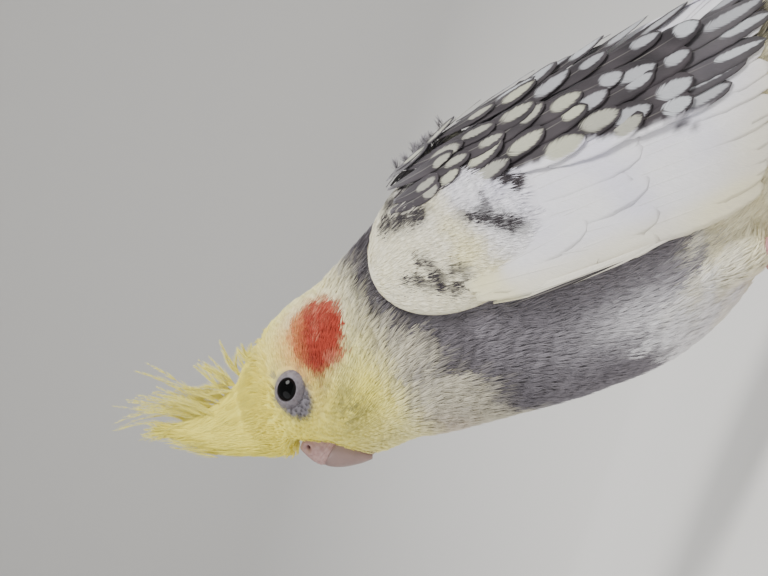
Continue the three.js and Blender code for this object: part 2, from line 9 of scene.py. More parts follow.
import json
import logging
import math
from collections.abc import Callable, Sequence
from dataclasses import dataclass, field, replace
from enum import Enum
from functools import cache

import bpy
import numpy as np
from mathutils import Matrix, Vector

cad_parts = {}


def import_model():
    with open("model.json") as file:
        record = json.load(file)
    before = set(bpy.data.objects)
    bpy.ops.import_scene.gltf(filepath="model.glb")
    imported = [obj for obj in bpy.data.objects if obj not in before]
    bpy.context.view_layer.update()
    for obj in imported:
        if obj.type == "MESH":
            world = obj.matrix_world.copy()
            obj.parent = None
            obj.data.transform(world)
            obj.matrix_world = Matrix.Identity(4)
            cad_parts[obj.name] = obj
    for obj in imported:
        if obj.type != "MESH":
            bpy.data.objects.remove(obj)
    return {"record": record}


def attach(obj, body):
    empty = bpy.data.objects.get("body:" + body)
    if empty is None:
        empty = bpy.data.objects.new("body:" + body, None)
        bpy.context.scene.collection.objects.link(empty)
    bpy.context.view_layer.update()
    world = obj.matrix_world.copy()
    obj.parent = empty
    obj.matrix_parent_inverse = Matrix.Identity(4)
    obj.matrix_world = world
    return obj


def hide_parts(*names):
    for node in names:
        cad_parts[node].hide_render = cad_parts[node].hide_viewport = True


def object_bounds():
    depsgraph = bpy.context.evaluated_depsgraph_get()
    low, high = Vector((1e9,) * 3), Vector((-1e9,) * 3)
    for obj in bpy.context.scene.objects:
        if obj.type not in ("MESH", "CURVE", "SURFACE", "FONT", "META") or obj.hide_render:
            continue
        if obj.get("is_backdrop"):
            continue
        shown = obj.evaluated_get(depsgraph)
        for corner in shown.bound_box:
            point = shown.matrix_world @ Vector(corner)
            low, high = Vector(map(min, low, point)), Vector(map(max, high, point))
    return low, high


LOG = logging.getLogger("cockatiel")
MM = 0.001
SEED = 7
BODY = "root"
BAKE_MAP = "OFBake"
TUFT_PATCH = 0.003  # a tuft's width on the bake map
FOOT = np.array([9.0, 14.5])  # the left foot's middle in the drawing

Array = np.ndarray
Colour = tuple[float, float, float]


def srgb(red: int, green: int, blue: int) -> Colour:
    """A colour as seen on a screen, from 0 to 255, as linear light."""
    return tuple(((c / 255 + 0.055) / 1.055) ** 2.4 if c > 10 else c / 3295 for c in (red, green, blue))


class Tone:
    """The plumage's and the bare parts' colours, as linear light."""

    LEMON = srgb(244, 233, 108)
    STRAW = srgb(243, 234, 158)
    CREAM = srgb(243, 236, 204)
    IVORY = srgb(240, 236, 222)
    WHITE = srgb(240, 238, 240)
    LAVENDER = srgb(228, 226, 238)
    BLUSH = srgb(226, 204, 188)
    BEIGE = srgb(198, 191, 170)
    SILVER = srgb(184, 180, 186)
    GREY = srgb(128, 123, 129)
    SLATE = srgb(94, 89, 94)
    CHARCOAL = srgb(64, 58, 62)
    INK = srgb(40, 35, 39)
    BRICK = srgb(164, 56, 38)
    ROSE = srgb(216, 138, 108)
    APRICOT = srgb(240, 172, 98)
    OLIVE = srgb(98, 93, 68)
    PEARL = srgb(186, 186, 165)
    ICE = srgb(188, 191, 195)


def blend(a: Array | Colour, b: Array | Colour, share: Array | float) -> Array:
    """Mixes colours.

    Args:
        a: The first colours, one row each, or one colour.
        b: The second colours, or one colour.
        share: How much of b is in the result, for each row.

    Returns:
        The mixed colours.
    """
    share = np.clip(np.asarray(share, float), 0, 1)
    if share.ndim:
        share = share[:, None]
    return np.asarray(a, float) * (1 - share) + np.asarray(b, float) * share


def opaque(tones: Array) -> Array:
    """Colours with an alpha of one."""
    return np.hstack([tones, np.ones((len(tones), 1))])


def smooth(low: float, high: float, value: Array) -> Array:
    """A soft step from 0 at low to 1 at high."""
    t = np.clip((np.asarray(value, float) - low) / (high - low), 0, 1)
    return t * t * (3 - 2 * t)


def bump(distance: Array, radius: float) -> Array:
    """A bell that is 1 at distance 0 and dies away past radius."""
    return np.exp(-((np.asarray(distance, float) / radius) ** 2))


def unit(vectors: Array) -> Array:
    """The vectors at length one."""
    return vectors / np.maximum(np.linalg.norm(vectors, axis=-1, keepdims=True), 1e-9)


def ripple(points: Array, size: float, seed: int, octaves: int = 2) -> Array:
    """A smooth random field with values near -1 to 1.

    Args:
        points: Places in millimetres, one row each.
        size: The width of its patches in millimetres.
        seed: The number that fixes the draw.
        octaves: How many finer fields are added.

    Returns:
        One value for each place.
    """
    draw = np.random.default_rng(seed)
    total = np.zeros(len(points))
    weight = 0.0
    for octave in range(octaves):
        share = 0.55**octave
        for _ in range(5):
            wave = draw.normal(size=3) * (2.2 / size) * 2**octave
            total += share * np.sin(points @ wave + draw.uniform(0, 2 * math.pi))
        weight += share * 2.0
    return total / weight


def spline(values: Array, at: Array) -> Array:
    """A smooth curve through evenly spaced values.

    Args:
        values: One row for each step, of any width.
        at: Where to read it, from 0 to the last row's number.

    Returns:
        The curve's value at each place.
    """
    values = np.asarray(values, float)
    at = np.asarray(at, float)
    last = len(values) - 1
    low = np.clip(np.floor(at).astype(int), 0, last - 1)
    f = at - low
    b = values[low]
    c = values[low + 1]
    before = np.maximum(low - 1, 0)
    after = np.minimum(low + 2, last)
    if values.ndim > 1:
        f = f[..., None]
        first = (low == 0)[..., None]
        final = (low + 2 > last)[..., None]
    else:
        first = low == 0
        final = low + 2 > last
    a = np.where(first, 2 * b - c, values[before])
    d = np.where(final, 2 * c - b, values[after])
    return b + 0.5 * f * (c - a + f * (2 * a - 5 * b + 4 * c - d + f * (3 * (b - c) + d - a)))


def between(values: Sequence, share: float | Array) -> Array:
    """The value at a share of the way through a list, on a smooth curve."""
    return spline(np.asarray(values, float), np.asarray(share, float) * (len(values) - 1))


@dataclass(frozen=True)
class Station:
    """One section of a form: its back and belly in the middle plane, and its half width."""

    name: str
    back: tuple[float, float]
    belly: tuple[float, float]
    half: float


BODY_STATIONS = (
    Station("tail root", (-76, 32.5), (-71, 18), 9),
    Station("tail coverts", (-69, 39), (-56, 18), 11),
    Station("rump", (-60, 48.5), (-36, 19), 14),
    Station("vent", (-49, 60), (-14, 19.5), 18.5),
    Station("belly", (-35, 74.5), (9, 20.8), 22),
    Station("loins", (-20, 89.5), (29, 29.5), 24),
    Station("breast", (-4, 102), (44, 44), 24),
    Station("shoulders", (12, 110.5), (57, 60.5), 21.5),
    Station("neck", (28, 116.8), (66.5, 73.5), 17.5),
    Station("nape", (42, 123.2), (73.5, 84), 15),
    Station("cheeks", (53.4, 130.4), (77, 88.5), 14.2),
    Station("crown", (66, 134.2), (79.6, 92), 13.2),
    Station("poll", (77.5, 134.4), (82, 96), 11.6),
    Station("brow", (87, 129.2), (84.3, 101.5), 9),
    Station("forehead", (91, 120.2), (86, 110), 5.2),
)
BED_STATIONS = (
    Station("wing tips", (-122, 16), (-116, 4), 8),
    Station("over the tail", (-94, 26.5), (-86, 9), 10.5),
    Station("tail root", (-77.5, 34.5), (-71, 15), 11.5),
    *BODY_STATIONS[1:10],
)
CREST_STATIONS = (
    Station("inside the head", (66, 125), (85, 110), 8.5),
    Station("base", (68, 131), (90, 115.5), 8),
    Station("low", (73.5, 134.3), (92.8, 121.8), 6.4),
    Station("middle", (80.8, 137.3), (95.2, 129.5), 4.6),
    Station("high", (88, 142.3), (96.2, 138), 3.2),
    Station("end", (92.6, 147), (96.4, 145), 1.7),
)
CREST_STATION = 30.0  # the station number that the crest's skin is marked with
BILL_STATIONS = (
    Station("root", (87.2, 111.5), (76.5, 109), 5),
    Station("bridge", (88.5, 106), (76.5, 103.5), 5.4),
    Station("side", (87.6, 101.6), (78.5, 99.5), 4.4),
    Station("hook", (85, 97.2), (80.3, 96.6), 2.7),
    Station("point", (82.6, 94.4), (81.2, 94.9), 0.9),
)
JAW_STATIONS = (
    Station("root", (81.5, 102), (73.5, 99.5), 4.3),
    Station("cup", (82, 98), (75.5, 95.2), 3.7),
    Station("rim", (81.4, 94.6), (78, 93.2), 2),
)


class Outline:
    """A form drawn by its back line, its belly line and its width."""

    def __init__(self, stations: Sequence[Station]) -> None:
        """Reads the stations, from the tail end to the head end."""
        self.back = np.array([s.back for s in stations], float)
        self.belly = np.array([s.belly for s in stations], float)
        self.half = np.array([s.half for s in stations], float)
        self.last = len(stations) - 1

    def section(self, t: Array) -> tuple[Array, Array, Array]:
        """Middle, half height vector and half width of the sections at t, in the middle plane."""
        back = spline(self.back, t)
        belly = spline(self.belly, t)
        return (back + belly) / 2, (back - belly) / 2, spline(self.half, t)

    def point(self, t: Array, angle: Array, grow: Array | float = 0.0) -> Array:
        """Places on the surface.

        Args:
            t: Station numbers.
            angle: Turns from the back towards the left side, in radians.
            grow: How far outside the drawn surface they lie.

        Returns:
            One place for each pair of t and angle.
        """
        middle, up, half = self.section(t)
        tall = np.linalg.norm(up, axis=-1)
        reach = ((tall + grow) / tall * np.cos(angle))[..., None]
        flat = middle + up * reach
        return np.stack([flat[..., 0], (half + grow) * np.sin(angle), flat[..., 1]], -1)

    def normal(self, t: Array, angle: Array) -> Array:
        """Outward directions at places on the surface."""
        step = 0.04
        along = self.point(t + step, angle) - self.point(t - step, angle)
        around = self.point(t, angle + step) - self.point(t, angle - step)
        return unit(np.cross(along, around))

    def locate(self, x: Array, z: Array) -> Array:
        """The station numbers whose sections pass through places in the middle plane."""
        x, z = np.broadcast_arrays(np.asarray(x, float), np.asarray(z, float))
        low = np.zeros(x.shape)
        high = np.full(x.shape, float(self.last))
        for _ in range(26):
            t = (low + high) / 2
            middle, up, _ = self.section(t)
            ahead = (x - middle[..., 0]) * up[..., 1] - (z - middle[..., 1]) * up[..., 0] > 0
            low = np.where(ahead, t, low)
            high = np.where(ahead, high, t)
        return (low + high) / 2

    def coordinates(self, points: Array) -> tuple[Array, Array]:
        """Station numbers and turns of places in space."""
        t = self.locate(points[:, 0], points[:, 2])
        middle, up, half = self.section(t)
        tall = np.linalg.norm(up, axis=-1)
        seen = points[:, [0, 2]] - middle
        share = (seen * up).sum(-1) / tall**2
        return t, np.arctan2(points[:, 1] / half, share)

    def place(self, x: Array, z: Array, lift: Array | float = 0.0) -> tuple[Array, Array]:
        """Places on the left side that are seen at x, z from the side.

        Args:
            x: How far forward they are.
            z: Their heights.
            lift: How far they stand off the surface.

        Returns:
            The places and the outward directions there.
        """
        t = self.locate(x, z)
        middle, up, _ = self.section(t)
        seen = np.stack(np.broadcast_arrays(x, z), -1) - middle
        share = np.clip((seen * up).sum(-1) / (up * up).sum(-1), -0.99, 0.985)
        angle = np.arccos(share)
        normal = self.normal(t, angle)
        return self.point(t, angle) + normal * np.asarray(lift)[..., None], normal

    def shell(self, steps: int, sides: int, grow: Callable[[Array], Array] | float = 0.0) -> "Shell":
        """A closed mesh of the form.

        Args:
            steps: Rings from one station to the next.
            sides: Points round a ring.
            grow: How far it lies outside the drawn surface, or a function of the station number.

        Returns:
            Its vertices and faces.
        """
        t = np.arange(self.last * steps + 1) / steps
        angle = np.arange(sides) / sides * 2 * math.pi
        tt, aa = np.meshgrid(t, angle, indexing="ij")
        offset = grow(tt) if callable(grow) else grow
        return Shell.of_rings(self.point(tt, aa, offset))


@dataclass
class Shell:
    """Vertices in millimetres and faces, with any numbers kept at the vertices."""

    points: Array
    faces: list[tuple[int, ...]]
    marks: dict[str, Array] = field(default_factory=dict)

    @staticmethod
    def of_rings(rings: Array) -> "Shell":
        """A closed skin over rings of points."""
        count, sides = rings.shape[:2]
        last = (count - 1) * sides
        faces = []
        for a in range(last):
            b = a + 1 if (a + 1) % sides else a + 1 - sides
            faces.append((a, a + sides, b + sides, b))
        faces += [tuple(range(sides)), tuple(reversed(range(last, last + sides)))]
        return Shell(rings.reshape(-1, 3), faces).outward()

    def outward(self) -> "Shell":
        """The same shell with its faces pointing out."""
        return self if self.volume() > 0 else self.turned()

    def volume(self) -> float:
        """Six times the volume inside, below zero if the faces point inwards."""
        total = 0.0
        for face in self.faces:
            a = self.points[face[0]]
            for b, c in zip(face[1:-1], face[2:]):
                total += float(np.dot(a, np.cross(self.points[b], self.points[c])))
        return total

    def turned(self) -> "Shell":
        """The same shell with every face pointing the other way."""
        return Shell(self.points, [tuple(reversed(f)) for f in self.faces], self.marks)

    def mirrored(self) -> "Shell":
        """The same shell on the other side of the bird."""
        twin = Shell(self.points * np.array([1, -1, 1]), self.faces, dict(self.marks))
        return twin.turned()


def tube(points: Array, radii: Array, sides: int = 20, steps: int = 6, flat: float = 1.0) -> Shell:
    """A round limb along points.

    Args:
        points: Its middle line's knots.
        radii: Its radius at each knot.
        sides: Points round a ring.
        steps: Rings from one knot to the next.
        flat: Its height as a share of its width.

    Returns:
        The closed shell.
    """
    t = np.linspace(0, len(points) - 1, (len(points) - 1) * steps + 1)
    middle = spline(points, t)
    along = unit(np.gradient(middle, axis=0))
    side = np.cross(np.array([0.0, 0.0, 1.0]), along)
    weak = np.linalg.norm(side, axis=1) < 1e-3
    side[weak] = (0, 1, 0)
    side = unit(side)
    over = np.cross(along, side)
    radius = spline(radii, t)[:, None, None]
    a = np.arange(sides) / sides * 2 * math.pi
    round_it = side[:, None] * np.cos(a)[None, :, None] + flat * over[:, None] * np.sin(a)[None, :, None]
    return Shell.of_rings(middle[:, None] + radius * round_it)


def ball_rings(rings: int, sides: int, least: float) -> tuple[Array, Array]:
    """A ball of radius one, in rings from its front to its rear.

    Args:
        rings: How many there are.
        sides: Points round a ring.
        least: The radius of the first and the last one.

    Returns:
        Each ring's turn from the front, and the places, whose last axis points to the front.
    """
    turn = np.linspace(0, math.pi, rings)[:, None]
    angle = np.arange(sides)[None] / sides * 2 * math.pi
    share = np.maximum(np.sin(turn), least)
    depth = np.cos(turn) * np.ones_like(angle)
    return turn, np.stack([share * np.cos(angle), share * np.sin(angle), depth], -1)


def joined(shells: Sequence[Shell]) -> Shell:
    """Several shells as one, each keeping its own vertices."""
    names = shells[0].marks.keys()
    faces = []
    start = 0
    for shell in shells:
        faces.extend(tuple(i + start for i in f) for f in shell.faces)
        start += len(shell.points)
    marks = {n: np.concatenate([s.marks[n] for s in shells]) for n in names}
    return Shell(np.concatenate([s.points for s in shells]), faces, marks)


class Place:
    """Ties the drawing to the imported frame."""

    shift = np.zeros(3)

    @classmethod
    def tie(cls, record: dict) -> None:
        """Reads where the left foot's middle is in the frame."""
        sole = np.array(record["mounts"][0]["pos_m"]) / MM
        cls.shift = np.array([sole[0] - FOOT[0], sole[1] - FOOT[1], 0.0])

    @classmethod
    def to_frame(cls, points: Array) -> Array:
        """Places in the frame, in metres, from places in the drawing."""
        return (np.asarray(points, float) + cls.shift) * MM

    @classmethod
    def to_drawing(cls, points: Array) -> Array:
        """Places in the drawing, from places in the frame."""
        return np.asarray(points, float) / MM - cls.shift


def put_marks(mesh: bpy.types.Mesh, marks: dict[str, Array]) -> None:
    """Writes numbers, vectors or colours at a mesh's vertices, by the width of each array."""
    kinds = {1: ("FLOAT", "value"), 3: ("FLOAT_VECTOR", "vector"), 4: ("FLOAT_COLOR", "color")}
    for name, values in marks.items():
        values = np.asarray(values, np.float32)
        kind, part = kinds[values[:1].size]
        mesh.attributes.new(name, kind, "POINT").data.foreach_set(part, values.ravel())


def drop_marks(mesh: bpy.types.Mesh, *names: str) -> None:
    """Removes the marks that a mesh no longer needs."""
    for name in names:
        if name in mesh.attributes:
            mesh.attributes.remove(mesh.attributes[name])


def put_map(mesh: bpy.types.Mesh, name: str, corners: Array) -> None:
    """Writes a UV map, one pair of numbers for each face corner."""
    mesh.uv_layers.new(name=name).data.foreach_set("uv", np.asarray(corners, np.float32).ravel())


def put_atlas(mesh: bpy.types.Mesh, count: int, cell: Array, share: Array, edge: float) -> None:
    """Writes the bake map of separate feathers, each in a square cell of its own.

    Args:
        mesh: The feathers' mesh.
        count: How many feathers there are.
        cell: The feather's number at each vertex.
        share: The place in its cell at each vertex, from 0 to 1.
        edge: The part of a cell that stays free on each side.
    """
    side = math.ceil(math.sqrt(count))
    origin = np.stack([cell % side, cell // side], 1)
    corners = (origin + edge + (1 - 2 * edge) * share) / side
    put_map(mesh, BAKE_MAP, corners[corner_numbers(mesh)])


def read(values: bpy.types.bpy_prop_collection, name: str, width: int = 1) -> Array:
    """One property of all of a mesh's vertices, corners or faces, as whole numbers or as vectors."""
    flat = np.zeros(len(values) * width, np.int32 if width == 1 else np.float32)
    values.foreach_get(name, flat)
    return flat if width == 1 else flat.reshape(-1, width).astype(float)


def corner_numbers(mesh: bpy.types.Mesh) -> Array:
    """The vertex number at each face corner."""
    return read(mesh.loops, "vertex_index")


def new_object(name: str, shell: Shell, material: bpy.types.Material | None = None) -> bpy.types.Object:
    """Makes an object of a shell, in the frame.

    Args:
        name: The piece's name.
        shell: Its shape, in the drawing.
        material: Its finish.

    Returns:
        The object, smooth shaded and linked to the scene.
    """
    mesh = bpy.data.meshes.new(name)
    mesh.from_pydata(Place.to_frame(shell.points).tolist(), [], shell.faces)
    put_marks(mesh, shell.marks)
    mesh.shade_smooth()
    if material:
        mesh.materials.append(material)
    made = bpy.data.objects.new(name, mesh)
    bpy.context.scene.collection.objects.link(made)
    return made


def settle(made: bpy.types.Object) -> None:
    """Applies an object's modifiers to its mesh."""
    graph = bpy.context.evaluated_depsgraph_get()
    mesh = bpy.data.meshes.new_from_object(made.evaluated_get(graph))
    made.modifiers.clear()
    old = made.data
    made.data = mesh
    mesh.name = made.name
    bpy.data.meshes.remove(old)


def finish_piece(made: bpy.types.Object, slot: str, *nodes: str) -> bpy.types.Object:
    """Ties a finished piece to the frame and reports it.

    Args:
        made: The piece.
        slot: The record's material slot; not used.
        nodes: The CAD nodes that it stands for.

    Returns:
        The same piece.
    """
    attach(made, BODY)
    if nodes:
        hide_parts(*nodes)
    made.data.calc_loop_triangles()
    LOG.info("%s: %d triangles", made.name, len(made.data.loop_triangles))
    return made


NUMBER = "NodeSocketFloat"
COLOUR = "NodeSocketColor"


class Tree:
    """A node tree, with short calls for its nodes, links and named sockets."""

    def __init__(self, tree: bpy.types.NodeTree) -> None:
        """Wraps a tree."""
        self.tree = tree

    @classmethod
    def group(cls, name: str, kind: str, inputs: dict[str, tuple], outputs: dict[str, str]) -> "Tree":
        """A new node group.

        Args:
            name: The group's name.
            kind: GeometryNodeTree or ShaderNodeTree.
            inputs: For each input its socket type and, if any, its usual value.
            outputs: For each output its socket type.

        Returns:
            The wrapped group.
        """
        tree = bpy.data.node_groups.new(name, kind)
        for label, (socket_type, *usual) in inputs.items():
            socket = tree.interface.new_socket(label, in_out="INPUT", socket_type=socket_type)
            if usual:
                socket.default_value = usual[0]
        for label, socket_type in outputs.items():
            tree.interface.new_socket(label, in_out="OUTPUT", socket_type=socket_type)
        return cls(tree)

    def give(self, socket: bpy.types.NodeSocket, value: object) -> None:
        """Links another socket to an input, or sets the input's value."""
        if isinstance(value, bpy.types.NodeSocket):
            self.tree.links.new(value, socket)
        else:
            socket.default_value = value

    def fill(self, made: bpy.types.Node, inputs: dict) -> bpy.types.Node:
        """Gives a node its inputs' values or links, by name or number."""
        for key, value in inputs.items():
            self.give(made.inputs[key], value)
        return made

    def node(self, kind: str, inputs: dict | None = None, **settings: object) -> bpy.types.Node:
        """Adds a node.

        Args:
            kind: Blender's name for the node.
            inputs: Values or sockets for its inputs, by name or number.
            settings: Values for its properties.

        Returns:
            The node.
        """
        made = self.tree.nodes.new(kind)
        for label, value in settings.items():
            setattr(made, label, value)
        return self.fill(made, inputs or {})

    def entry(self) -> bpy.types.bpy_prop_collection:
        """What comes into the group, by label."""
        return self.node("NodeGroupInput").outputs

    def leave(self, outputs: dict) -> None:
        """Links the group's outputs."""
        self.node("NodeGroupOutput", outputs)

    def math(self, operation: str, *values: object) -> bpy.types.NodeSocket:
        """One step of arithmetic."""
        return self.node("ShaderNodeMath", dict(enumerate(values)), operation=operation).outputs[0]

    def vector(self, operation: str, *values: object) -> bpy.types.NodeSocket:
        """One step of vector arithmetic that gives a vector."""
        return self.node("ShaderNodeVectorMath", dict(enumerate(values)), operation=operation).outputs[0]

    def scaled(self, value: object, factor: object) -> bpy.types.NodeSocket:
        """A vector times a number."""
        return self.node("ShaderNodeVectorMath", {0: value, "Scale": factor}, operation="SCALE").outputs[0]

    def joined(self, x: object, y: object, z: object) -> bpy.types.NodeSocket:
        """A vector of three numbers."""
        return self.node("ShaderNodeCombineXYZ", {0: x, 1: y, 2: z}).outputs[0]

    def mix(self, share: object, a: object, b: object, kind: str = "RGBA") -> bpy.types.NodeSocket:
        """A mix of two colours or vectors."""
        first, out = {"RGBA": (6, 2), "VECTOR": (4, 1)}[kind]
        return self.node("ShaderNodeMix", {0: share, first: a, first + 1: b}, data_type=kind).outputs[out]

    def soft_step(self, value: object, low: float, high: float) -> bpy.types.NodeSocket:
        """A soft step from 0 at low to 1 at high."""
        limits = {"Value": value, 1: low, 2: high}
        return self.node("ShaderNodeMapRange", limits, interpolation_type="SMOOTHSTEP").outputs[0]

    def noise(self, where: object, scale: object, detail: float = 2.0) -> bpy.types.NodeSocket:
        """A random field from 0 to 1."""
        inputs = {"Vector": where, "Scale": scale, "Detail": detail}
        return self.node("ShaderNodeTexNoise", inputs).outputs[0]

    def place(self) -> bpy.types.NodeSocket:
        """A shader's place on the object, in metres."""
        return self.node("ShaderNodeTexCoord").outputs["Object"]

    def mark(self, name: str, output: str = "Fac") -> bpy.types.NodeSocket:
        """A shader's reading of a mesh attribute."""
        return self.node("ShaderNodeAttribute", attribute_name=name).outputs[output]

    def named(self, name: str, kind: str = "FLOAT_VECTOR") -> bpy.types.NodeSocket:
        """A geometry tree's reading of a mesh attribute."""
        return self.node("GeometryNodeInputNamedAttribute", {"Name": name}, data_type=kind).outputs[0]

    def shown(self, made: bpy.types.Node, inputs: dict) -> bpy.types.NodeSocket:
        """Fills the inputs that a node shows, by label, and gives the first output that it shows."""
        for label, value in inputs.items():
            self.give(next(s for s in made.inputs if s.name == label and s.enabled), value)
        return next(s for s in made.outputs if s.enabled)

    def random(self, low: object, high: object, seed: object) -> bpy.types.NodeSocket:
        """A random number for each element."""
        made = self.node("FunctionNodeRandomValue", data_type="FLOAT")
        return self.shown(made, {"Min": low, "Max": high, "Seed": seed})

    def store(self, geometry: object, name: str, value: object, domain: str) -> bpy.types.NodeSocket:
        """Keeps a number, or a pair of them at the corners, on the geometry under a name."""
        kind = "FLOAT2" if domain == "CORNER" else "FLOAT"
        made = self.node("GeometryNodeStoreNamedAttribute", {"Name": name}, data_type=kind, domain=domain)
        return self.shown(made, {"Geometry": geometry, "Value": value})

    def sample(self, surface: object, value: object, where: object) -> bpy.types.NodeSocket:
        """A vector read at the nearest place of a surface."""
        made = self.node("GeometryNodeSampleNearestSurface", data_type="FLOAT_VECTOR")
        return self.shown(made, {"Mesh": surface, "Value": value, "Sample Position": where})


def new_material(name: str) -> tuple[bpy.types.Material, Tree, bpy.types.Node]:
    """A material with its tree and its Principled shader."""
    material = bpy.data.materials.new(name)
    material.use_nodes = True
    return material, Tree(material.node_tree), material.node_tree.nodes["Principled BSDF"]


def shader_group(name: str, colours: Sequence[str], numbers: dict[str, float], extra: str) -> Tree:
    """A shader group that gives a colour and a number.

    Args:
        name: The group's name.
        colours: Its colour inputs.
        numbers: Its number inputs, with their usual values.
        extra: The number that it gives.

    Returns:
        The wrapped group.
    """
    inputs = {label: (COLOUR,) for label in colours}
    inputs |= {label: (NUMBER, usual) for label, usual in numbers.items()}
    return Tree.group(name, "ShaderNodeTree", inputs, {"Colour": COLOUR, extra: NUMBER})


@cache
def barbs_group() -> Tree:
    """Fine slanting barbs of a vane: streaks in its colour, and their height."""
    numbers = {"Across": 0.0, "Along": 0.0, "Seed": 0.0, "Slant": 1.3, "Fineness": 4.5, "Contrast": 0.25}
    tree = shader_group("Barbs", ("Colour",), numbers, "Height")
    entry = tree.entry()
    side = tree.math("ABSOLUTE", entry["Across"])
    slanted = tree.math("SUBTRACT", entry["Along"], tree.math("MULTIPLY", side, entry["Slant"]))
    run = tree.math("MULTIPLY", slanted, entry["Fineness"])
    streak = tree.noise(tree.joined(run, side, entry["Seed"]), 1.0, 3.0)
    spread = tree.math("MULTIPLY", entry["Contrast"], 2.0)
    gain = tree.math("MULTIPLY_ADD", tree.math("SUBTRACT", streak, 0.5), spread, 1.0)
    tree.leave({"Colour": tree.scaled(entry["Colour"], gain), "Height": streak})
    return tree


@cache
def pearl_group() -> Tree:
    """A pale drop in each feather: a soft-edged oval that barbs fray."""
    numbers = {"Across": 0.0, "Along": 0.0, "Middle across": 0.0, "Middle along": 0.7}
    numbers |= {"Half across": 0.5, "Half along": 0.2, "Fray": 0.5}
    tree = shader_group("Pearl", ("Ground", "Drop"), numbers, "Mask")
    entry = tree.entry()
    parts = []
    for way in ("across", "along"):
        off = tree.math("SUBTRACT", entry[way.capitalize()], entry[f"Middle {way}"])
        share = tree.math("DIVIDE", off, tree.math("MAXIMUM", entry[f"Half {way}"], 0.001))
        parts.append(tree.math("POWER", tree.math("ABSOLUTE", share), 2.4))
    distance = tree.math("ADD", *parts)
    frayed = tree.math("MULTIPLY_ADD", tree.math("SUBTRACT", entry["Fray"], 0.5), 2.2, distance)
    mask = tree.soft_step(frayed, 1.45, 0.6)
    tree.leave({"Colour": tree.mix(mask, entry["Ground"], entry["Drop"]), "Mask": mask})
    return tree


@cache
def blotch_group() -> Tree:
    """Blotches of horn or skin in two colours, on places in metres."""
    tree = shader_group("Blotches", ("Colour", "Other"), {"Size": 0.003, "Share": 0.5}, "Blotch")
    entry = tree.entry()
    blotch = tree.noise(tree.place(), tree.math("DIVIDE", 1.0, entry["Size"]), 3.0)
    share = tree.math("MULTIPLY", tree.soft_step(blotch, 0.35, 0.7), entry["Share"])
    tree.leave({"Colour": tree.mix(share, entry["Colour"], entry["Other"]), "Blotch": blotch})
    return tree


@dataclass(frozen=True)
class CoatFinish:
    """Soft small feathers: the colour kept at each root, a little lighter or darker on each barb."""

    spread: float = 0.11
    patches: float = 0.14

    def material(self) -> bpy.types.Material:
        """Builds the finish."""
        material, tree, shader = new_material("soft feathers")
        off = tree.math("SUBTRACT", tree.mark("barb"), 0.5)
        gain = tree.math("MULTIPLY_ADD", off, self.spread * 2, 1.0)
        off = tree.math("SUBTRACT", tree.noise(tree.place(), 900.0), 0.5)
        uneven = tree.math("MULTIPLY_ADD", off, self.patches, gain)
        colour = tree.scaled(tree.mark("tone", "Color"), uneven)
        look = {"Roughness": 0.75, "Specular IOR Level": 0.25, "Sheen Weight": 0.25}
        tree.fill(shader, {"Base Color": colour, **look})
        return material


@dataclass(frozen=True)
class VaneFinish:
    """Long feathers: barbs, a pale shaft, and a pearl drop where the feather has one."""

    contrast: float = 0.16
    relief: float = 0.00006
    shaft: float = 0.14

    def material(self) -> bpy.types.Material:
        """Builds the finish."""
        material, tree, shader = new_material("vanes")
        across, along, reach, wide, seed = map(tree.mark, ("across", "along", "reach", "wide", "seed"))
        centre = tree.node("ShaderNodeSeparateXYZ", {0: tree.mark("spot", "Vector")}).outputs
        out = tree.math("MULTIPLY", across, wide)
        run = tree.math("MULTIPLY", along, reach)
        slanted = tree.math("SUBTRACT", run, tree.math("MULTIPLY", tree.math("ABSOLUTE", out), 1.3))
        strand = tree.joined(tree.math("MULTIPLY", slanted, 3.2), tree.math("MULTIPLY", out, 0.35), seed)
        drop = {
            "Ground": tree.mark("tone", "Color"),
            "Drop": tree.mark("drop", "Color"),
            "Across": across,
            "Along": along,
            "Middle across": centre[0],
            "Middle along": centre[1],
            "Half across": centre[2],
            "Half along": tree.mark("spot", "Alpha"),
            "Fray": tree.noise(strand, 1.0),
        }
        pearl = tree.node("ShaderNodeGroup", drop, node_tree=pearl_group().tree).outputs["Colour"]
        blade = {"Colour": pearl, "Across": out, "Along": run, "Seed": seed, "Contrast": self.contrast}
        barbs = tree.node("ShaderNodeGroup", blade, node_tree=barbs_group().tree).outputs
        shaft = tree.soft_step(tree.math("ABSOLUTE", out), 0.2, 0.08)
        faded = tree.math("MULTIPLY", shaft, tree.soft_step(along, 0.95, 0.4))
        shaded = tree.mix(tree.math("MULTIPLY", faded, self.shaft), barbs["Colour"], (*Tone.IVORY, 1.0))
        height = tree.math("MULTIPLY_ADD", faded, 1.5, barbs["Height"])
        relief = tree.node("ShaderNodeBump", {"Height": height, "Distance": self.relief}).outputs[0]
        look = {"Roughness": 0.62, "Specular IOR Level": 0.3, "Sheen Weight": 0.15}
        tree.fill(shader, {"Base Color": shaded, "Normal": relief, **look})
        return material


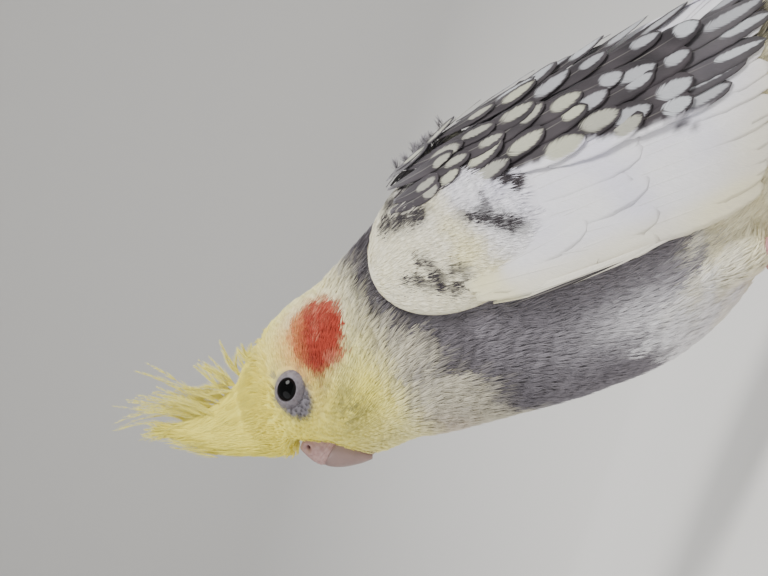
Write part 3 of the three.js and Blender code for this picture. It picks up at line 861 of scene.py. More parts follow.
@dataclass(frozen=True)
class BareFinish:
    """Horn, claw or bare skin, with painted shade that darkens it in its pits and folds."""

    name: str
    colour: Colour
    other: Colour
    # the colour of the painted shade in pits and folds, if any
    dark: Colour | None = None
    roughness: float = 0.45
    uneven: float = 0.2
    relief: float = 0.00005
    blotch_size: float = 0.003
    grain_size: float = 0.0004
    blotches: float = 0.5
    soft: float = 0.0
    coat: float = 0.0

    def material(self) -> bpy.types.Material:
        """Builds the finish."""
        material, tree, shader = new_material(self.name)
        tones = {"Colour": (*self.colour, 1.0), "Other": (*self.other, 1.0)}
        inputs = {**tones, "Size": self.blotch_size, "Share": self.blotches}
        horn = tree.node("ShaderNodeGroup", inputs, node_tree=blotch_group().tree).outputs
        colour = horn["Colour"]
        # painted shade: darker in the pits and folds that the mesh marks
        if self.dark:
            colour = tree.mix(tree.soft_step(tree.mark("pit"), 0.3, 0.8), colour, (*self.dark, 1.0))
        grain = tree.noise(tree.place(), 1 / self.grain_size)
        low = self.roughness - self.uneven / 2
        look = {
            "Base Color": colour,
            "Roughness": tree.math("MULTIPLY_ADD", horn["Blotch"], self.uneven, low),
            "Normal": tree.node("ShaderNodeBump", {"Height": grain, "Distance": self.relief}).outputs[0],
            "Subsurface Weight": self.soft,
            "Subsurface Radius": (0.0012, 0.0006, 0.0005),
            "Coat Weight": self.coat,
            "Coat Roughness": 0.15,
        }
        tree.fill(shader, look)
        return material


@dataclass(frozen=True)
class EyeFinish:
    """A wet, nearly black eye with a dark brown iris."""

    pupil: Colour = (0.002, 0.002, 0.002)
    iris: Colour = (0.004, 0.003, 0.003)
    fleck: Colour = (0.014, 0.009, 0.007)
    roughness: float = 0.04
    specular: float = 0.1

    def material(self) -> bpy.types.Material:
        """Builds the finish."""
        material, tree, shader = new_material("eye")
        flecks = tree.noise(tree.place(), 2500.0, 3.0)
        iris = tree.mix(flecks, (*self.iris, 1), (*self.fleck, 1))
        colour = tree.mix(tree.soft_step(tree.mark("pupil"), 0.50, 0.56), (*self.pupil, 1), iris)
        look = {"Roughness": self.roughness, "Specular IOR Level": self.specular}
        tree.fill(shader, {"Base Color": colour, **look})
        return material


FACE = np.array([83.0, 108.0])  # the bill's middle, which the head's feathers lie away from
EYE_AT = np.array([71.6, 119.2])  # seen from the side, as the cheek's patch is
PATCH_AT = np.array([58.7, 116.4])


def spread_out(side: Array, middle: Sequence[float], radii: Sequence[float]) -> Array:
    """Distance from a middle, 1 at the given radii."""
    return np.linalg.norm((side - np.asarray(middle, float)) / np.asarray(radii, float), axis=1)


def turned(side: Array, degrees: float) -> tuple[Array, Array]:
    """The two coordinates of places along and across a turned axis."""
    turn = math.radians(degrees)
    u = side[:, 0] * math.cos(turn) + side[:, 1] * math.sin(turn)
    return u, side[:, 1] * math.cos(turn) - side[:, 0] * math.sin(turn)


@dataclass(frozen=True)
class Spots:
    """Places on the body: as they are, seen from the side, and as station numbers and turns."""

    points: Array
    side: Array
    t: Array
    turn: Array
    wobble: Array  # a field of wide patches
    fine: Array  # a field of narrow patches


@dataclass
class Plumage:
    """What the feathers are like at any place on the body."""

    outline: Outline
    crest: Outline

    def coat_depth(self, t: Array) -> Array:
        """How far the skin lies inside the drawn surface, at a station number."""
        return 1.9 - 1.0 * smooth(8.5, 11.5, t)

    def flow(self, points: Array, normals: Array) -> Array:
        """The way that the feathers lie, along the skin.

        Args:
            points: Places on the skin.
            normals: The outward directions there.

        Returns:
            One unit vector for each place.
        """
        t, angle = self.outline.coordinates(points)
        ahead = self.outline.point(t + 0.05, angle) - self.outline.point(t - 0.05, angle)
        down_body = -unit(ahead)
        down_body[:, 2] -= 0.22 * smooth(3.0, 6.0, t) * (1 - smooth(7, 9, t))
        from_bill = points - np.array([FACE[0], 0.0, FACE[1]])
        reach = np.linalg.norm(from_bill, axis=1)
        on_head = 1 - smooth(24, 46, reach)
        way = unit(from_bill) * on_head[:, None] + down_body * (1 - on_head[:, None])
        place, turn = self.crest.coordinates(points)
        up_crest = smooth(0.2, 1.2, place)[:, None]
        place = np.clip(place, 0.5, 4.5)
        to_tip = unit(self.crest.point(place + 0.05, turn) - self.crest.point(place - 0.05, turn))
        way = way * (1 - up_crest) + to_tip * up_crest
        way -= normals * (way * normals).sum(1, keepdims=True)
        return unit(way)

    def tone(self, points: Array) -> Array:
        """The feathers' colours at places on the body, as linear light."""
        t, angle = self.outline.coordinates(points)
        wobble, fine = ripple(points, 7.0, SEED), ripple(points, 2.2, SEED + 1)
        at = Spots(points, points[:, [0, 2]], t, np.abs(angle), wobble, fine)
        colours = blend(Tone.CREAM, Tone.WHITE, smooth(3.9, 5.2, t + 0.4 * wobble))
        return np.clip(self.head_tones(self.body_tones(colours, at), at), 0, 1)

    def body_tones(self, colours: Array, at: Spots) -> Array:
        """The trunk: grey collar and breast, cream belly, dark back.

        Args:
            colours: The colours so far.
            at: The places.

        Returns:
            The new colours.
        """
        t, turn, wobble, fine = at.t, at.turn, at.wobble, at.fine
        streaks = ripple(np.stack([t * 1.6, turn * 16, 0.5 * wobble], 1), 2.6, SEED + 6)
        beige = blend(Tone.BEIGE, Tone.GREY, 0.5 * smooth(0, 0.9, streaks))
        colours = blend(colours, beige, smooth(6.5, 7.2, t))
        low_edge = 4.6 + 1.05 * smooth(2.2, 2.42, turn) + 0.26 * streaks + 0.08 * wobble
        breast = smooth(low_edge - 0.14, low_edge + 0.14, t)
        upper = 8.8 - 1.45 * smooth(0.9, 2.8, turn) + 0.22 * streaks + 0.12 * fine
        breast *= 1 - smooth(upper - 0.25, upper + 0.3, t)
        grey = blend(Tone.SLATE, Tone.GREY, smooth(8.3, 7.0, t + 0.4 * wobble))
        cloud = np.hypot((t - 5.5) / 0.8, (turn - 2.28) / 0.25)
        grey = blend(grey, Tone.SILVER, 0.85 * bump(cloud, 1.0))
        grey = blend(grey, Tone.WHITE, 0.6 * bump(cloud, 0.6))
        grey = blend(grey, Tone.CHARCOAL, 0.35 * smooth(0.0, 0.9, fine) * smooth(5.5, 7.5, t))
        colours = blend(colours, grey, breast)
        back = (1 - smooth(1.15, 1.45, turn)) * (1 - smooth(8.2, 8.9, t + 0.2 * wobble))
        dark = blend(Tone.CHARCOAL, Tone.SILVER, 0.5 * smooth(0.3, 0.8, fine))
        colours = blend(colours, dark, back * smooth(1.6, 2.4, t))
        yellow = smooth(-0.4, 0.8, wobble) * (1 - smooth(3.2, 4.4, t))
        colours = blend(colours, Tone.STRAW, 0.4 * yellow)
        return blend(colours, Tone.BLUSH, 0.35 * smooth(2.3, 2.9, turn) * smooth(7.8, 8.6, t))

    def head_tones(self, colours: Array, at: Spots) -> Array:
        """The head: lemon crown and face, orange cheek, grey by the eye.

        Args:
            colours: The colours so far.
            at: The places.

        Returns:
            The new colours.
        """
        side, t, fine = at.side, at.t, at.fine
        reach = np.linalg.norm(side - (92.0, 128.0), axis=1)
        flank = smooth(3, 8, np.abs(at.points[:, 1]))
        head = blend(Tone.IVORY, Tone.STRAW, 0.7 * smooth(38, 48, side[:, 0]))
        head = blend(head, Tone.LEMON, 1 - smooth(18, 42, reach + 3 * at.wobble))
        colours = blend(colours, head, smooth(8.5, 9.4, t + 0.15 * fine))
        jowl = bump(spread_out(side, (68, 100), (13, 10)), 1.0)
        colours = blend(colours, Tone.LEMON, 0.9 * jowl * smooth(8.6, 9.4, t))
        spots = (((71, 102.5), (5.5, 4)), ((67.4, 109.5), (3.5, 2.6)), ((57, 107), (6, 2.6)))
        streaky = sum(bump(spread_out(side, *spot), 1.0) for spot in spots)
        from_bill = unit(side - FACE)
        rays = np.stack([np.arctan2(from_bill[:, 1], from_bill[:, 0]) * 30, side @ (0.1, 0.1), at.wobble], 1)
        streaky = streaky * smooth(-0.5, 0.4, ripple(rays, 2.2, SEED + 5) + 0.2 * fine)
        colours = blend(colours, Tone.OLIVE, 0.7 * streaky * flank)
        colours = self.cheek_tones(colours, at, flank)
        colours = blend(colours, Tone.GREY, smooth(1.35, 0.95, self.eye_ring(at.points)))
        lore = bump(spread_out(side, (75.5, 114.2), (3.2, 2.8)), 1.0)
        colours = blend(colours, Tone.SLATE, 0.45 * lore * flank)
        nape = bump(spread_out(side, (35.5, 118), (7, 8)), 1.0) * smooth(-0.1, 0.4, fine)
        return blend(colours, Tone.SLATE, 0.9 * nape)

    def cheek_tones(self, colours: Array, at: Spots, flank: Array) -> Array:
        """The orange patch, streaked along the feathers, with its pale rear edge and its glow.

        Args:
            colours: The colours so far.
            at: The places.
            flank: How far on the head's side they are, from 0 to 1.

        Returns:
            The new colours.
        """
        u, v = turned(at.side - PATCH_AT, -33)
        glow = bump(spread_out(np.stack([u, v], 1), (1, 5), (10, 5.5)), 1.0)
        colours = blend(colours, Tone.APRICOT, 0.75 * glow * flank)
        inside = np.hypot(u / 10.0, v / 6.9) + 0.08 * ripple(at.points * (0.5, 1, 1.2), 2.0, SEED + 3)
        band = smooth(0.9, 1.1, inside) * (1 - smooth(1.3, 1.9, inside)) * smooth(0, -6, u)
        colours = blend(colours, Tone.CREAM, 0.5 * band * flank)
        strands = ripple(np.stack([u * 0.22, v, np.zeros(len(u))], 1), 1.5, SEED + 4)
        brick = blend(Tone.BRICK, Tone.ROSE, 0.6 * smooth(0.1, 0.9, strands))
        brick = blend(brick, Tone.APRICOT, 0.45 * smooth(1.5, 6.5, v))
        return blend(colours, brick, smooth(1.1, 0.84, inside) * flank)

    def eye_ring(self, points: Array) -> Array:
        """How far places are from the eye's bare ring: below 1 inside it."""
        u, v = turned(points[:, [0, 2]] - EYE_AT - np.array([1.3, -2.0]), -52)
        return np.hypot(u / 5.8, v / 3.9) + (np.abs(points[:, 1]) < 4) * 9

    def bill_line(self, points: Array) -> Array:
        """How far places lie ahead of the line where the face's feathers end, in millimetres."""
        ahead = points[:, 0] - 80.8 - 0.3 * np.maximum(points[:, 2] - 105, 0)
        top = 113.6 + 0.25 * np.abs(points[:, 1])
        return np.minimum(ahead, top - points[:, 2])

    def length(self, points: Array) -> Array:
        """How long the feathers are, in millimetres."""
        t, _ = self.outline.coordinates(points)
        face = np.linalg.norm(points[:, [0, 2]] - FACE, axis=1)
        usual = 1.9 + 1.9 * smooth(6, 24, face) + 3.4 * smooth(10.2, 8.0, t)
        usual = usual + 5.0 * smooth(0.4, 3.2, self.crest.locate(points[:, 0], points[:, 2]))
        return usual * (0.6 + 0.4 * smooth(0.9, 1.5, self.eye_ring(points)))

    def density(self, points: Array) -> Array:
        """Where feathers grow, from 0 to 1: not by the eye or on the bill, few under the wings."""
        side = points[:, [0, 2]]
        lids = spread_out(side, EYE_AT, (4.3, 3.8)) + (np.abs(points[:, 1]) < 4)
        t, angle = self.outline.coordinates(points)
        turn = np.abs(angle)
        under = smooth(0.35, 0.6, turn) * smooth(1.5, 1.25, turn) * smooth(1.4, 2, t) * smooth(7, 6.4, t)
        bare = smooth(0.2, 0.5, self.bill_line(points))
        up_crest = self.crest.locate(points[:, 0], points[:, 2])
        ends = smooth(0.02, 0.12, t) * smooth(4.96, 4.8, up_crest)
        return (1 - bare) * smooth(0.95, 1.05, lids) * (1 - 0.7 * under) * ends


@dataclass
class Trunk:
    """The skin of the head, neck, body and thighs, in one piece."""

    plumage: Plumage
    steps: int = 12
    sides: int = 72
    voxel: float = 0.85
    hip: tuple[float, float, float] = (8, 9.5, 35)
    ankle: tuple[float, float, float] = (-1, 13.5, 21.5)
    thigh_radii: tuple[float, ...] = (6.8, 5.4, 2.9)

    def shape(self) -> Shell:
        """The body, the crest's core and both thighs, still apart."""
        outline = self.plumage.outline
        body = outline.shell(self.steps, self.sides, lambda t: -self.plumage.coat_depth(t))
        hip, ankle = np.array(self.hip), np.array(self.ankle)
        knots = np.array([hip, hip + 0.55 * (ankle - hip), ankle - 0.06 * (ankle - hip)])
        thigh = tube(knots, np.array(self.thigh_radii), 28, 8)
        return joined([body, self.plumage.crest.shell(8, 48, -0.7), thigh, thigh.mirrored()])

    def features(self, points: Array) -> Array:
        """The face's forms, as moves along the normals in millimetres."""
        side = points[:, [0, 2]]
        flank = smooth(2, 7, np.abs(points[:, 1]))
        socket = bump(spread_out(side, EYE_AT, (4.6, 4.2)), 1.0)
        patch = bump(spread_out(side, PATCH_AT, (8, 8)), 1.0)
        brow = bump(spread_out(side, EYE_AT + (0, 6), (3.6, 3.6)), 1.0)
        jowl = bump(spread_out(side, (70, 103), (6, 6)), 1.0)
        bare = smooth(-0.3, 1.0, self.plumage.bill_line(points))
        forms = (-0.8 * socket + 0.7 * patch + 0.35 * brow + 0.9 * jowl) * flank
        return forms * (1 - bare) - 3.4 * bare

    def build(self, material: bpy.types.Material) -> bpy.types.Object:
        """Makes the skin with its marks.

        Args:
            material: The skin's finish.

        Returns:
            The object, which carries tone, flow, length and density at its vertices.
        """
        made = new_object("skin", self.shape(), material)
        remesh = made.modifiers.new("one skin", "REMESH")
        remesh.mode = "VOXEL"
        remesh.voxel_size = self.voxel * MM
        remesh.use_smooth_shade = True
        soften = made.modifiers.new("soften", "SMOOTH")
        soften.factor = 0.5
        soften.iterations = 9
        settle(made)
        mesh = made.data
        points = Place.to_drawing(read(mesh.vertices, "co", 3))
        points += read(mesh.vertex_normals, "vector", 3) * self.features(points)[:, None]
        mesh.vertices.foreach_set("co", Place.to_frame(points).astype(np.float32).ravel())
        mesh.update()
        put_marks(mesh, self.marks(points, read(mesh.vertex_normals, "vector", 3)))
        put_map(mesh, "Roots", self.unwrap(mesh, points))
        if not mesh.materials:
            mesh.materials.append(material)
        return made

    def marks(self, points: Array, normals: Array) -> dict[str, Array]:
        """Everything that the coat reads from the skin."""
        plumage = self.plumage
        up_crest = plumage.crest.locate(points[:, 0], points[:, 2])
        return {
            "tone": opaque(plumage.tone(points)),
            "flow": plumage.flow(points, normals),
            "outward": normals,
            "long": plumage.length(points),
            "density": plumage.density(points),
            "station": np.where(up_crest > 0.4, CREST_STATION, plumage.outline.coordinates(points)[0]),
            "barb": np.full(len(points), 0.4),
        }

    def unwrap(self, mesh: bpy.types.Mesh, points: Array) -> Array:
        """The skin laid flat: round the body across, and from tail to head up, at each corner."""
        t, angle = self.plumage.outline.coordinates(points)
        numbers = corner_numbers(mesh)
        across = angle[numbers] / (2 * math.pi) + 0.5
        face = np.repeat(np.arange(len(mesh.polygons)), read(mesh.polygons, "loop_total"))
        low = np.full(len(mesh.polygons), 9.0)
        high = -low
        np.minimum.at(low, face, across)
        np.maximum.at(high, face, across)
        torn = (high - low)[face] > 0.5
        across = np.where(torn & (across < 0.5), across + 1, across)
        up = t[numbers] / self.plumage.outline.last
        return np.stack([0.02 + across * 0.9, 0.02 + up * 0.95], 1)


@dataclass(frozen=True)
class Tuft:
    """One small feather: a fan of thin barbs, of length one, lying along Y."""

    name: str
    barbs: int = 7
    spread: float = 0.5
    width: float = 0.075
    thickness: float = 0.02
    base: float = 0.1
    seed: int = 3

    def build(self) -> bpy.types.Object:
        """Makes the fan. Its height is kept apart, as a share, in the attribute rise."""
        draw = np.random.default_rng(SEED + self.seed)
        rows: list[tuple[float, ...]] = []  # x, y, z, rise, shade and the place on the bake map
        faces: list[tuple[int, ...]] = []
        for i in range(self.barbs):
            share = (i + 0.5) / self.barbs - 0.5
            turn = share * self.spread * 2 + draw.uniform(-0.06, 0.06)
            reach = 1.0 - 0.9 * share * share + draw.uniform(-0.14, 0.08)
            shade = draw.uniform(0, 1)
            start = np.array([share * self.base * 2, draw.uniform(0.0, 0.1), 0.0])
            along = np.array([math.sin(turn), math.cos(turn), 0.0])
            across = np.array([along[1], -along[0], 0.0])
            bend = across * draw.uniform(-0.05, 0.05)
            level = draw.uniform(-0.12, 0.12)
            a = len(rows)
            for step, half, height in ((0.0, 0.8, -0.2), (0.55, 1.0, 0.5 + level)):
                middle = start + along * reach * step + bend * step
                for side, over in ((-1, 0), (1, 0), (0, 1)):
                    place = middle + across * side * half * self.width
                    rise = height + over * self.thickness * 6
                    rows.append((*place, rise, shade, share + 0.5 + 0.04 * side, step))
            rows.append((*(start + along * reach + bend), 0.8 + level, shade, share + 0.5, 1.0))
            faces.append((a, a + 1, a + 2))
            for j, k in ((0, 1), (1, 2), (2, 0)):
                faces += [(a + j, a + 3 + j, a + 3 + k, a + k), (a + 3 + j, a + 6, a + 3 + k)]
        values = np.array(rows)
        mesh = bpy.data.meshes.new(self.name)
        mesh.from_pydata(values[:, :3].tolist(), [], faces)
        put_marks(mesh, {"rise": values[:, 3], "shade": values[:, 4]})
        put_map(mesh, "Patch", values[corner_numbers(mesh), 5:])
        return bpy.data.objects.new(self.name, mesh)


SKIN_MARKS = ("flow", "outward", "long", "density", "station")


class Lie(Enum):
    """How a coat's tufts lie."""

    FLAT = "hugs the skin"
    FREE = "runs straight on from its root"


@dataclass(frozen=True)
class CoatZone:
    """One piece of the coat: where it grows, and its tufts' size."""

    name: str
    tuft: Tuft
    low: float
    high: float
    spacing: float
    depth: float
    length: float = 1.0
    width: float = 1.0
    turn: float = 0.25
    lie: Lie = Lie.FLAT
    seed: int = 0


class CoatGrower:
    """Grows tufts over a skin with geometry nodes."""

    def __init__(self) -> None:
        """Builds the node tree once."""
        self.tree = self.grow_tree()
        self.identifiers = {
            item.name: item.identifier
            for item in self.tree.tree.interface.items_tree
            if item.item_type == "SOCKET" and item.in_out == "INPUT"
        }

    def grow_tree(self) -> Tree:
        """The tree: roots on the skin, a tuft on each, bent to lie along the skin."""
        numbers = {"Low": 0.0, "High": 20.0, "Spacing": 0.0015, "Depth": 0.0015}
        numbers |= {"Length": 1.0, "Width": 1.0, "Turn": 0.25, "Hug": 1.0}
        inputs = {"Skin": ("NodeSocketGeometry",), "Tuft": ("NodeSocketObject",)}
        inputs |= {label: (NUMBER, usual) for label, usual in numbers.items()}
        inputs |= {"Seed": ("NodeSocketInt", 0), "Finish": ("NodeSocketMaterial",)}
        tree = Tree.group("Coat", "GeometryNodeTree", inputs, {"Coat": "NodeSocketGeometry"})
        entry = tree.entry()
        placed = self.tufts(tree, entry)
        placed = tree.store(placed, "level", self.draw(tree, entry, 2, 0.7, 1.1), "INSTANCE")
        kept = tree.store(placed, "tint", self.draw(tree, entry, 3, -0.25, 0.25), "INSTANCE")
        real = tree.node("GeometryNodeRealizeInstances", {0: kept}).outputs[0]
        here = tree.node("GeometryNodeInputPosition").outputs[0]
        nearest = tree.sample(entry["Skin"], here, here)
        outward = tree.sample(entry["Skin"], tree.named("outward"), here)
        rise = tree.math("MULTIPLY", tree.named("rise", "FLOAT"), entry["Depth"])
        rise = tree.math("MULTIPLY", rise, tree.named("level", "FLOAT"))
        hugged = tree.vector("ADD", nearest, tree.scaled(tree.vector("NORMALIZE", outward), rise))
        free = tree.vector("ADD", here, tree.scaled(tree.named("outward"), rise))
        where = {"Geometry": real, "Position": tree.mix(entry["Hug"], free, hugged, "VECTOR")}
        moved = tree.node("GeometryNodeSetPosition", where).outputs[0]
        barb = tree.math("ADD", tree.named("shade", "FLOAT"), tree.named("tint", "FLOAT"))
        shaded = tree.store(moved, "barb", barb, "POINT")
        patch = tree.scaled(tree.named("Patch"), TUFT_PATCH)
        mapped = tree.store(shaded, BAKE_MAP, tree.vector("ADD", tree.named("Roots"), patch), "CORNER")
        last = tree.node("GeometryNodeSetMaterial", {0: mapped, "Material": entry["Finish"]})
        tree.leave({0: last.outputs[0]})
        return tree

    @staticmethod
    def draw(tree: Tree, entry: Sequence, step: int, low: object, high: object) -> bpy.types.NodeSocket:
        """A random number for each tuft, some steps on from the group's seed."""
        return tree.random(low, high, tree.math("ADD", entry["Seed"], float(step)))

    def tufts(self, tree: Tree, entry: Sequence) -> bpy.types.NodeSocket:
        """The first half of the tree: a tuft on each root, still an instance.

        Args:
            tree: The tree.
            entry: What comes into it.

        Returns:
            The placed tufts.
        """
        station = tree.named("station", "FLOAT")
        above = tree.math("GREATER_THAN", station, entry["Low"])
        below = tree.math("LESS_THAN", station, entry["High"])
        wanted = tree.math("MULTIPLY", tree.math("MULTIPLY", above, below), tree.named("density", "FLOAT"))
        sown = {"Mesh": entry["Skin"], "Distance Min": entry["Spacing"], "Density Max": 6.0e6}
        sown |= {"Density Factor": wanted, "Seed": entry["Seed"]}
        sower = "GeometryNodeDistributePointsOnFaces"
        roots = tree.node(sower, sown, distribute_method="POISSON").outputs
        axes = {0: roots["Normal"], 1: tree.named("flow")}
        aimer = "FunctionNodeAxesToRotation"
        aimed = tree.node(aimer, axes, primary_axis="Z", secondary_axis="Y").outputs[0]
        spin = tree.random(tree.math("MULTIPLY", entry["Turn"], -1.0), entry["Turn"], entry["Seed"])
        twist = tree.node("FunctionNodeAxisAngleToRotation", {0: (0, 0, 1), 1: spin}).outputs[0]
        turns = {0: aimed, 1: twist}
        spun = tree.node("FunctionNodeRotateRotation", turns, rotation_space="LOCAL").outputs[0]
        reach = tree.math("MULTIPLY", tree.named("long", "FLOAT"), MM)
        reach = tree.math("MULTIPLY", reach, self.draw(tree, entry, 1, 0.8, 1.2))
        reach = tree.math("MULTIPLY", reach, entry["Length"])
        size = tree.joined(tree.math("MULTIPLY", reach, entry["Width"]), reach, reach)
        tuft = tree.node("GeometryNodeObjectInfo", {0: entry["Tuft"], 1: True}).outputs["Geometry"]
        placing = {"Points": roots["Points"], "Instance": tuft, "Rotation": spun, "Scale": size}
        return tree.node("GeometryNodeInstanceOnPoints", placing).outputs[0]

    def grow(self, skin: bpy.types.Object, zone: CoatZone, material: bpy.types.Material) -> bpy.types.Object:
        """Grows one zone.

        Args:
            skin: The skin with its marks.
            zone: Where and how.
            material: The tufts' finish.

        Returns:
            The coat piece as a plain mesh.
        """
        made = bpy.data.objects.new(zone.name, skin.data.copy())
        bpy.context.scene.collection.objects.link(made)
        tuft = zone.tuft.build()
        modifier = made.modifiers.new("coat", "NODES")
        modifier.node_group = self.tree.tree
        values = {
            "Tuft": tuft,
            "Low": zone.low,
            "High": zone.high,
            "Spacing": zone.spacing * MM,
            "Depth": zone.depth * MM,
            "Length": zone.length,
            "Width": zone.width,
            "Turn": zone.turn,
            "Hug": float(zone.lie is Lie.FLAT),
            "Seed": SEED + zone.seed,
            "Finish": material,
        }
        for label, value in values.items():
            modifier[self.identifiers[label]] = value
        settle(made)
        bpy.data.objects.remove(tuft)
        drop_marks(made.data, *SKIN_MARKS, "Roots", "Patch", "rise", "level")
        return made


Spine = Callable[[Array], tuple[Array, Array]]


@dataclass
class Vane:
    """One long or broad feather: a thin bowed blade round a shaft."""

    spine: Spine
    half: float
    tone: Callable[[Array], Array]
    drop: Colour = Tone.PEARL
    spot: tuple[float, float, float, float] = (0.0, 0.75, 0.0, 0.0)
    pointed: bool = False
    tilt: float = 0.1
    camber: float = 0.02
    thick: float = 0.14
    ragged: float = 0.025
    rows: int = 26
    columns: int = 9
    root_width: float = 0.2

    def width_share(self, s: Array) -> Array:
        """Half width at s from root to tip, as a share of the widest."""
        shoulder = 0.45 if self.pointed else 0.62
        past = np.clip((s - shoulder) / (1 - shoulder), 0, 1)
        rise = np.sin(np.minimum(s / shoulder, 1) * math.pi / 2)
        root = self.root_width + (1 - self.root_width) * rise
        tip = 1 - past**1.6 if self.pointed else np.sqrt(1 - past**2.4)
        return np.where(s < shoulder, root, np.maximum(tip, 0.03))

    def shell(self, draw: np.random.Generator) -> Shell:
        """Makes the blade, with its place across and along and its marks at each vertex."""
        s = np.linspace(0, 1, self.rows) ** 0.85
        at, normal = self.spine(s)
        along = unit(np.gradient(at, axis=0))
        across = unit(np.cross(along, normal))
        up = unit(np.cross(across, along))
        u = np.linspace(-1, 1, self.columns)
        half = self.half * self.width_share(s)
        frayed = 1 + self.ragged * draw.normal(size=(self.rows, 2))
        half_left = half * frayed[:, 0]
        half_right = half * frayed[:, 1]
        reach = np.where(u[None] < 0, u[None] * half_left[:, None], u[None] * half_right[:, None])
        shaft = 0.08 * np.exp(-((u[None] / 0.12) ** 2)) * (1 - 0.8 * s[:, None])
        wave = 0.04 * np.sin(s[:, None] * draw.uniform(5, 9) + u[None] * 2 + draw.uniform(0, 6))
        rise = shaft - self.camber * reach**2 + reach * self.tilt + wave
        middle = at[:, None] + across[:, None] * reach[..., None] + up[:, None] * rise[..., None]
        thin = self.thick * (0.25 + 0.75 * (1 - u[None] ** 2)) * (1 - 0.6 * s[:, None])
        under = middle - up[:, None] * thin[..., None]
        rings = np.concatenate([middle, under[:, ::-1]], axis=1)
        made = Shell.of_rings(rings)
        every_u = np.tile(np.concatenate([u, u[::-1]]), self.rows)
        every_s = np.repeat(s, 2 * self.columns)
        count = len(made.points)
        length = float(np.linalg.norm(np.diff(at, axis=0), axis=1).sum())
        share = self.spot[3] / length if length else 0.0
        spot = (self.spot[0], self.spot[1], self.spot[2] / self.half, share)
        made.marks = {
            "across": every_u,
            "along": every_s,
            "reach": np.full(count, length),
            "wide": np.full(count, self.half),
            "seed": np.full(count, draw.uniform(0, 90)),
            "tone": opaque(self.tone(made.points)),
            "drop": np.tile([*self.drop, 1.0], (count, 1)),
            "spot": np.tile(spot, (count, 1)),
        }
        return made


def vane_piece(
    name: str, vanes: Sequence[Vane], seed: int, material: bpy.types.Material
) -> bpy.types.Object:
    """Makes one object of many vanes, each in its own cell of the bake map.

    Args:
        name: The piece's name.
        vanes: The feathers.
        seed: The number that fixes their small differences.
        material: Their finish.

    Returns:
        The object.
    """
    draw = np.random.default_rng(seed)
    shells = [vane.shell(draw) for vane in vanes]
    whole = joined(shells)
    made = new_object(name, whole, material)
    share = np.stack([(whole.marks["across"] + 1) / 2, whole.marks["along"]], 1)
    put_atlas(made.data, len(shells), cell_numbers(shells), share, 0.04)
    return made


def cell_numbers(shells: Sequence[Shell]) -> Array:
    """The shell's number at each vertex of joined shells."""
    return np.repeat(np.arange(len(shells)), [len(shell.points) for shell in shells])


@dataclass(frozen=True)
class Row:
    """A row of wing feathers, from the lowest to the highest, seen from the side."""

    count: int
    roots: Array
    tips: Array
    lift: float
    half: float
    bow: tuple[float, ...] = (0, 0)
    pointed: bool = False
    pearl: tuple[float, float] = (0, 0)
    dark: float = 0.0
    shift: float = 0.0
    sink: float = 1.1
    tilt: float = 0.1
    jitter: float = 0.5


TIER_COUNT = 8
TIER_LOW = ((18, 97), (9, 94), (5, 85), (-2, 78.5), (-7.5, 73), (-12, 66), (-16, 61), (-20, 54), (-24, 49))
TIER_TOP = ((8, 109), (-2, 105), (-9, 100), (-18, 93), (-26, 86), (-33, 79), (-40, 71), (-46, 64), (-50, 57))
TIER_LENGTHS = (13, 17, 21, 25, 28)


def tier_rows() -> list[Row]:
    """The pearled feathers, in tiers from the shoulder to the rear, each over the next."""
    rows = []
    reach = np.linspace(0, 1, TIER_COUNT + 1) ** 1.2
    for k in range(TIER_COUNT):
        low, top = between(TIER_LOW, reach[k + 1]), between(TIER_TOP, reach[k + 1])
        step = float(np.linalg.norm(low - between(TIER_LOW, reach[k])))
        length = float(between(TIER_LENGTHS, reach[k + 1]))
        tips = np.array([low, (low + top) / 2 + (-1.5, -0.5), top])
        ways = np.array([(0.66, 0.75), (0.71, 0.7), (0.78, 0.62)])
        half = 2.3 + 1.4 * reach[k + 1]
        pearl = (half * 0.7, step * 0.5)
        lift = 5.0 - 0.9 * reach[k + 1]
        row = Row(6, tips + ways * length, tips, lift, half, (0.5, 0.5), False, pearl, 1.0, 0.5 * (k % 2))
        rows.append(replace(row, jitter=1.4, tilt=0.05))
    return rows


PRIMARIES = Row(
    count=8,
    roots=((26, 76), (24, 80), (21, 84)),
    tips=((-108, 19.5), (-94, 25), (-74, 35)),
    lift=2.1,
    half=3.9,
    bow=(-19, -13, -6),
    pointed=True,
)
SECONDARIES = Row(
    count=11,
    roots=((22, 71), (13, 81), (3, 92)),
    tips=((-14, 29.5), (-31, 32), (-50, 42)),
    lift=2.7,
    half=4.8,
    bow=(0, -2),
    sink=0.7,
    tilt=0.05,
)
TERTIALS = Row(
    count=6,
    roots=((-6, 76), (-6, 84), (-6, 92)),
    tips=((-33, 42), (-50, 39), (-60, 47)),
    lift=3.2,
    half=3.6,
    bow=(1, 1),
    pearl=(1.7, 8),
    dark=0.95,
)
LONG_COVERTS = Row(
    count=11,
    roots=((25, 75), (18, 86), (9, 97)),
    tips=((4.5, 48), (-9, 56), (-20, 66)),
    lift=2.5,
    half=4.6,
    bow=(0, -1),
    sink=-0.7,
    tilt=0.03,
    jitter=2.4,
)
SHORT_COVERTS = Row(
    count=11,
    roots=((32, 80), (27, 92), (18, 104)),
    tips=((14, 60), (5, 71), (-3, 81)),
    lift=2.75,
    half=4.4,
    sink=-1.15,
    tilt=0.03,
    jitter=2.4,
)
LOWER_EDGE = Row(
    count=2,
    roots=((30.5, 75.5), (31.5, 77)),
    tips=((4, 44), (7, 48)),
    lift=4.2,
    half=1.2,
    bow=(1.2, 1.2),
    pointed=True,
    jitter=0.1,
)
DARK_SLIT = Row(
    count=1,
    roots=((31, 74), (31, 74)),
    tips=((13, 52.5), (13, 52.5)),
    lift=4.6,
    half=0.5,
    bow=(0.3, 0.3),
    pointed=True,
    dark=1.5,
    sink=0.4,
)
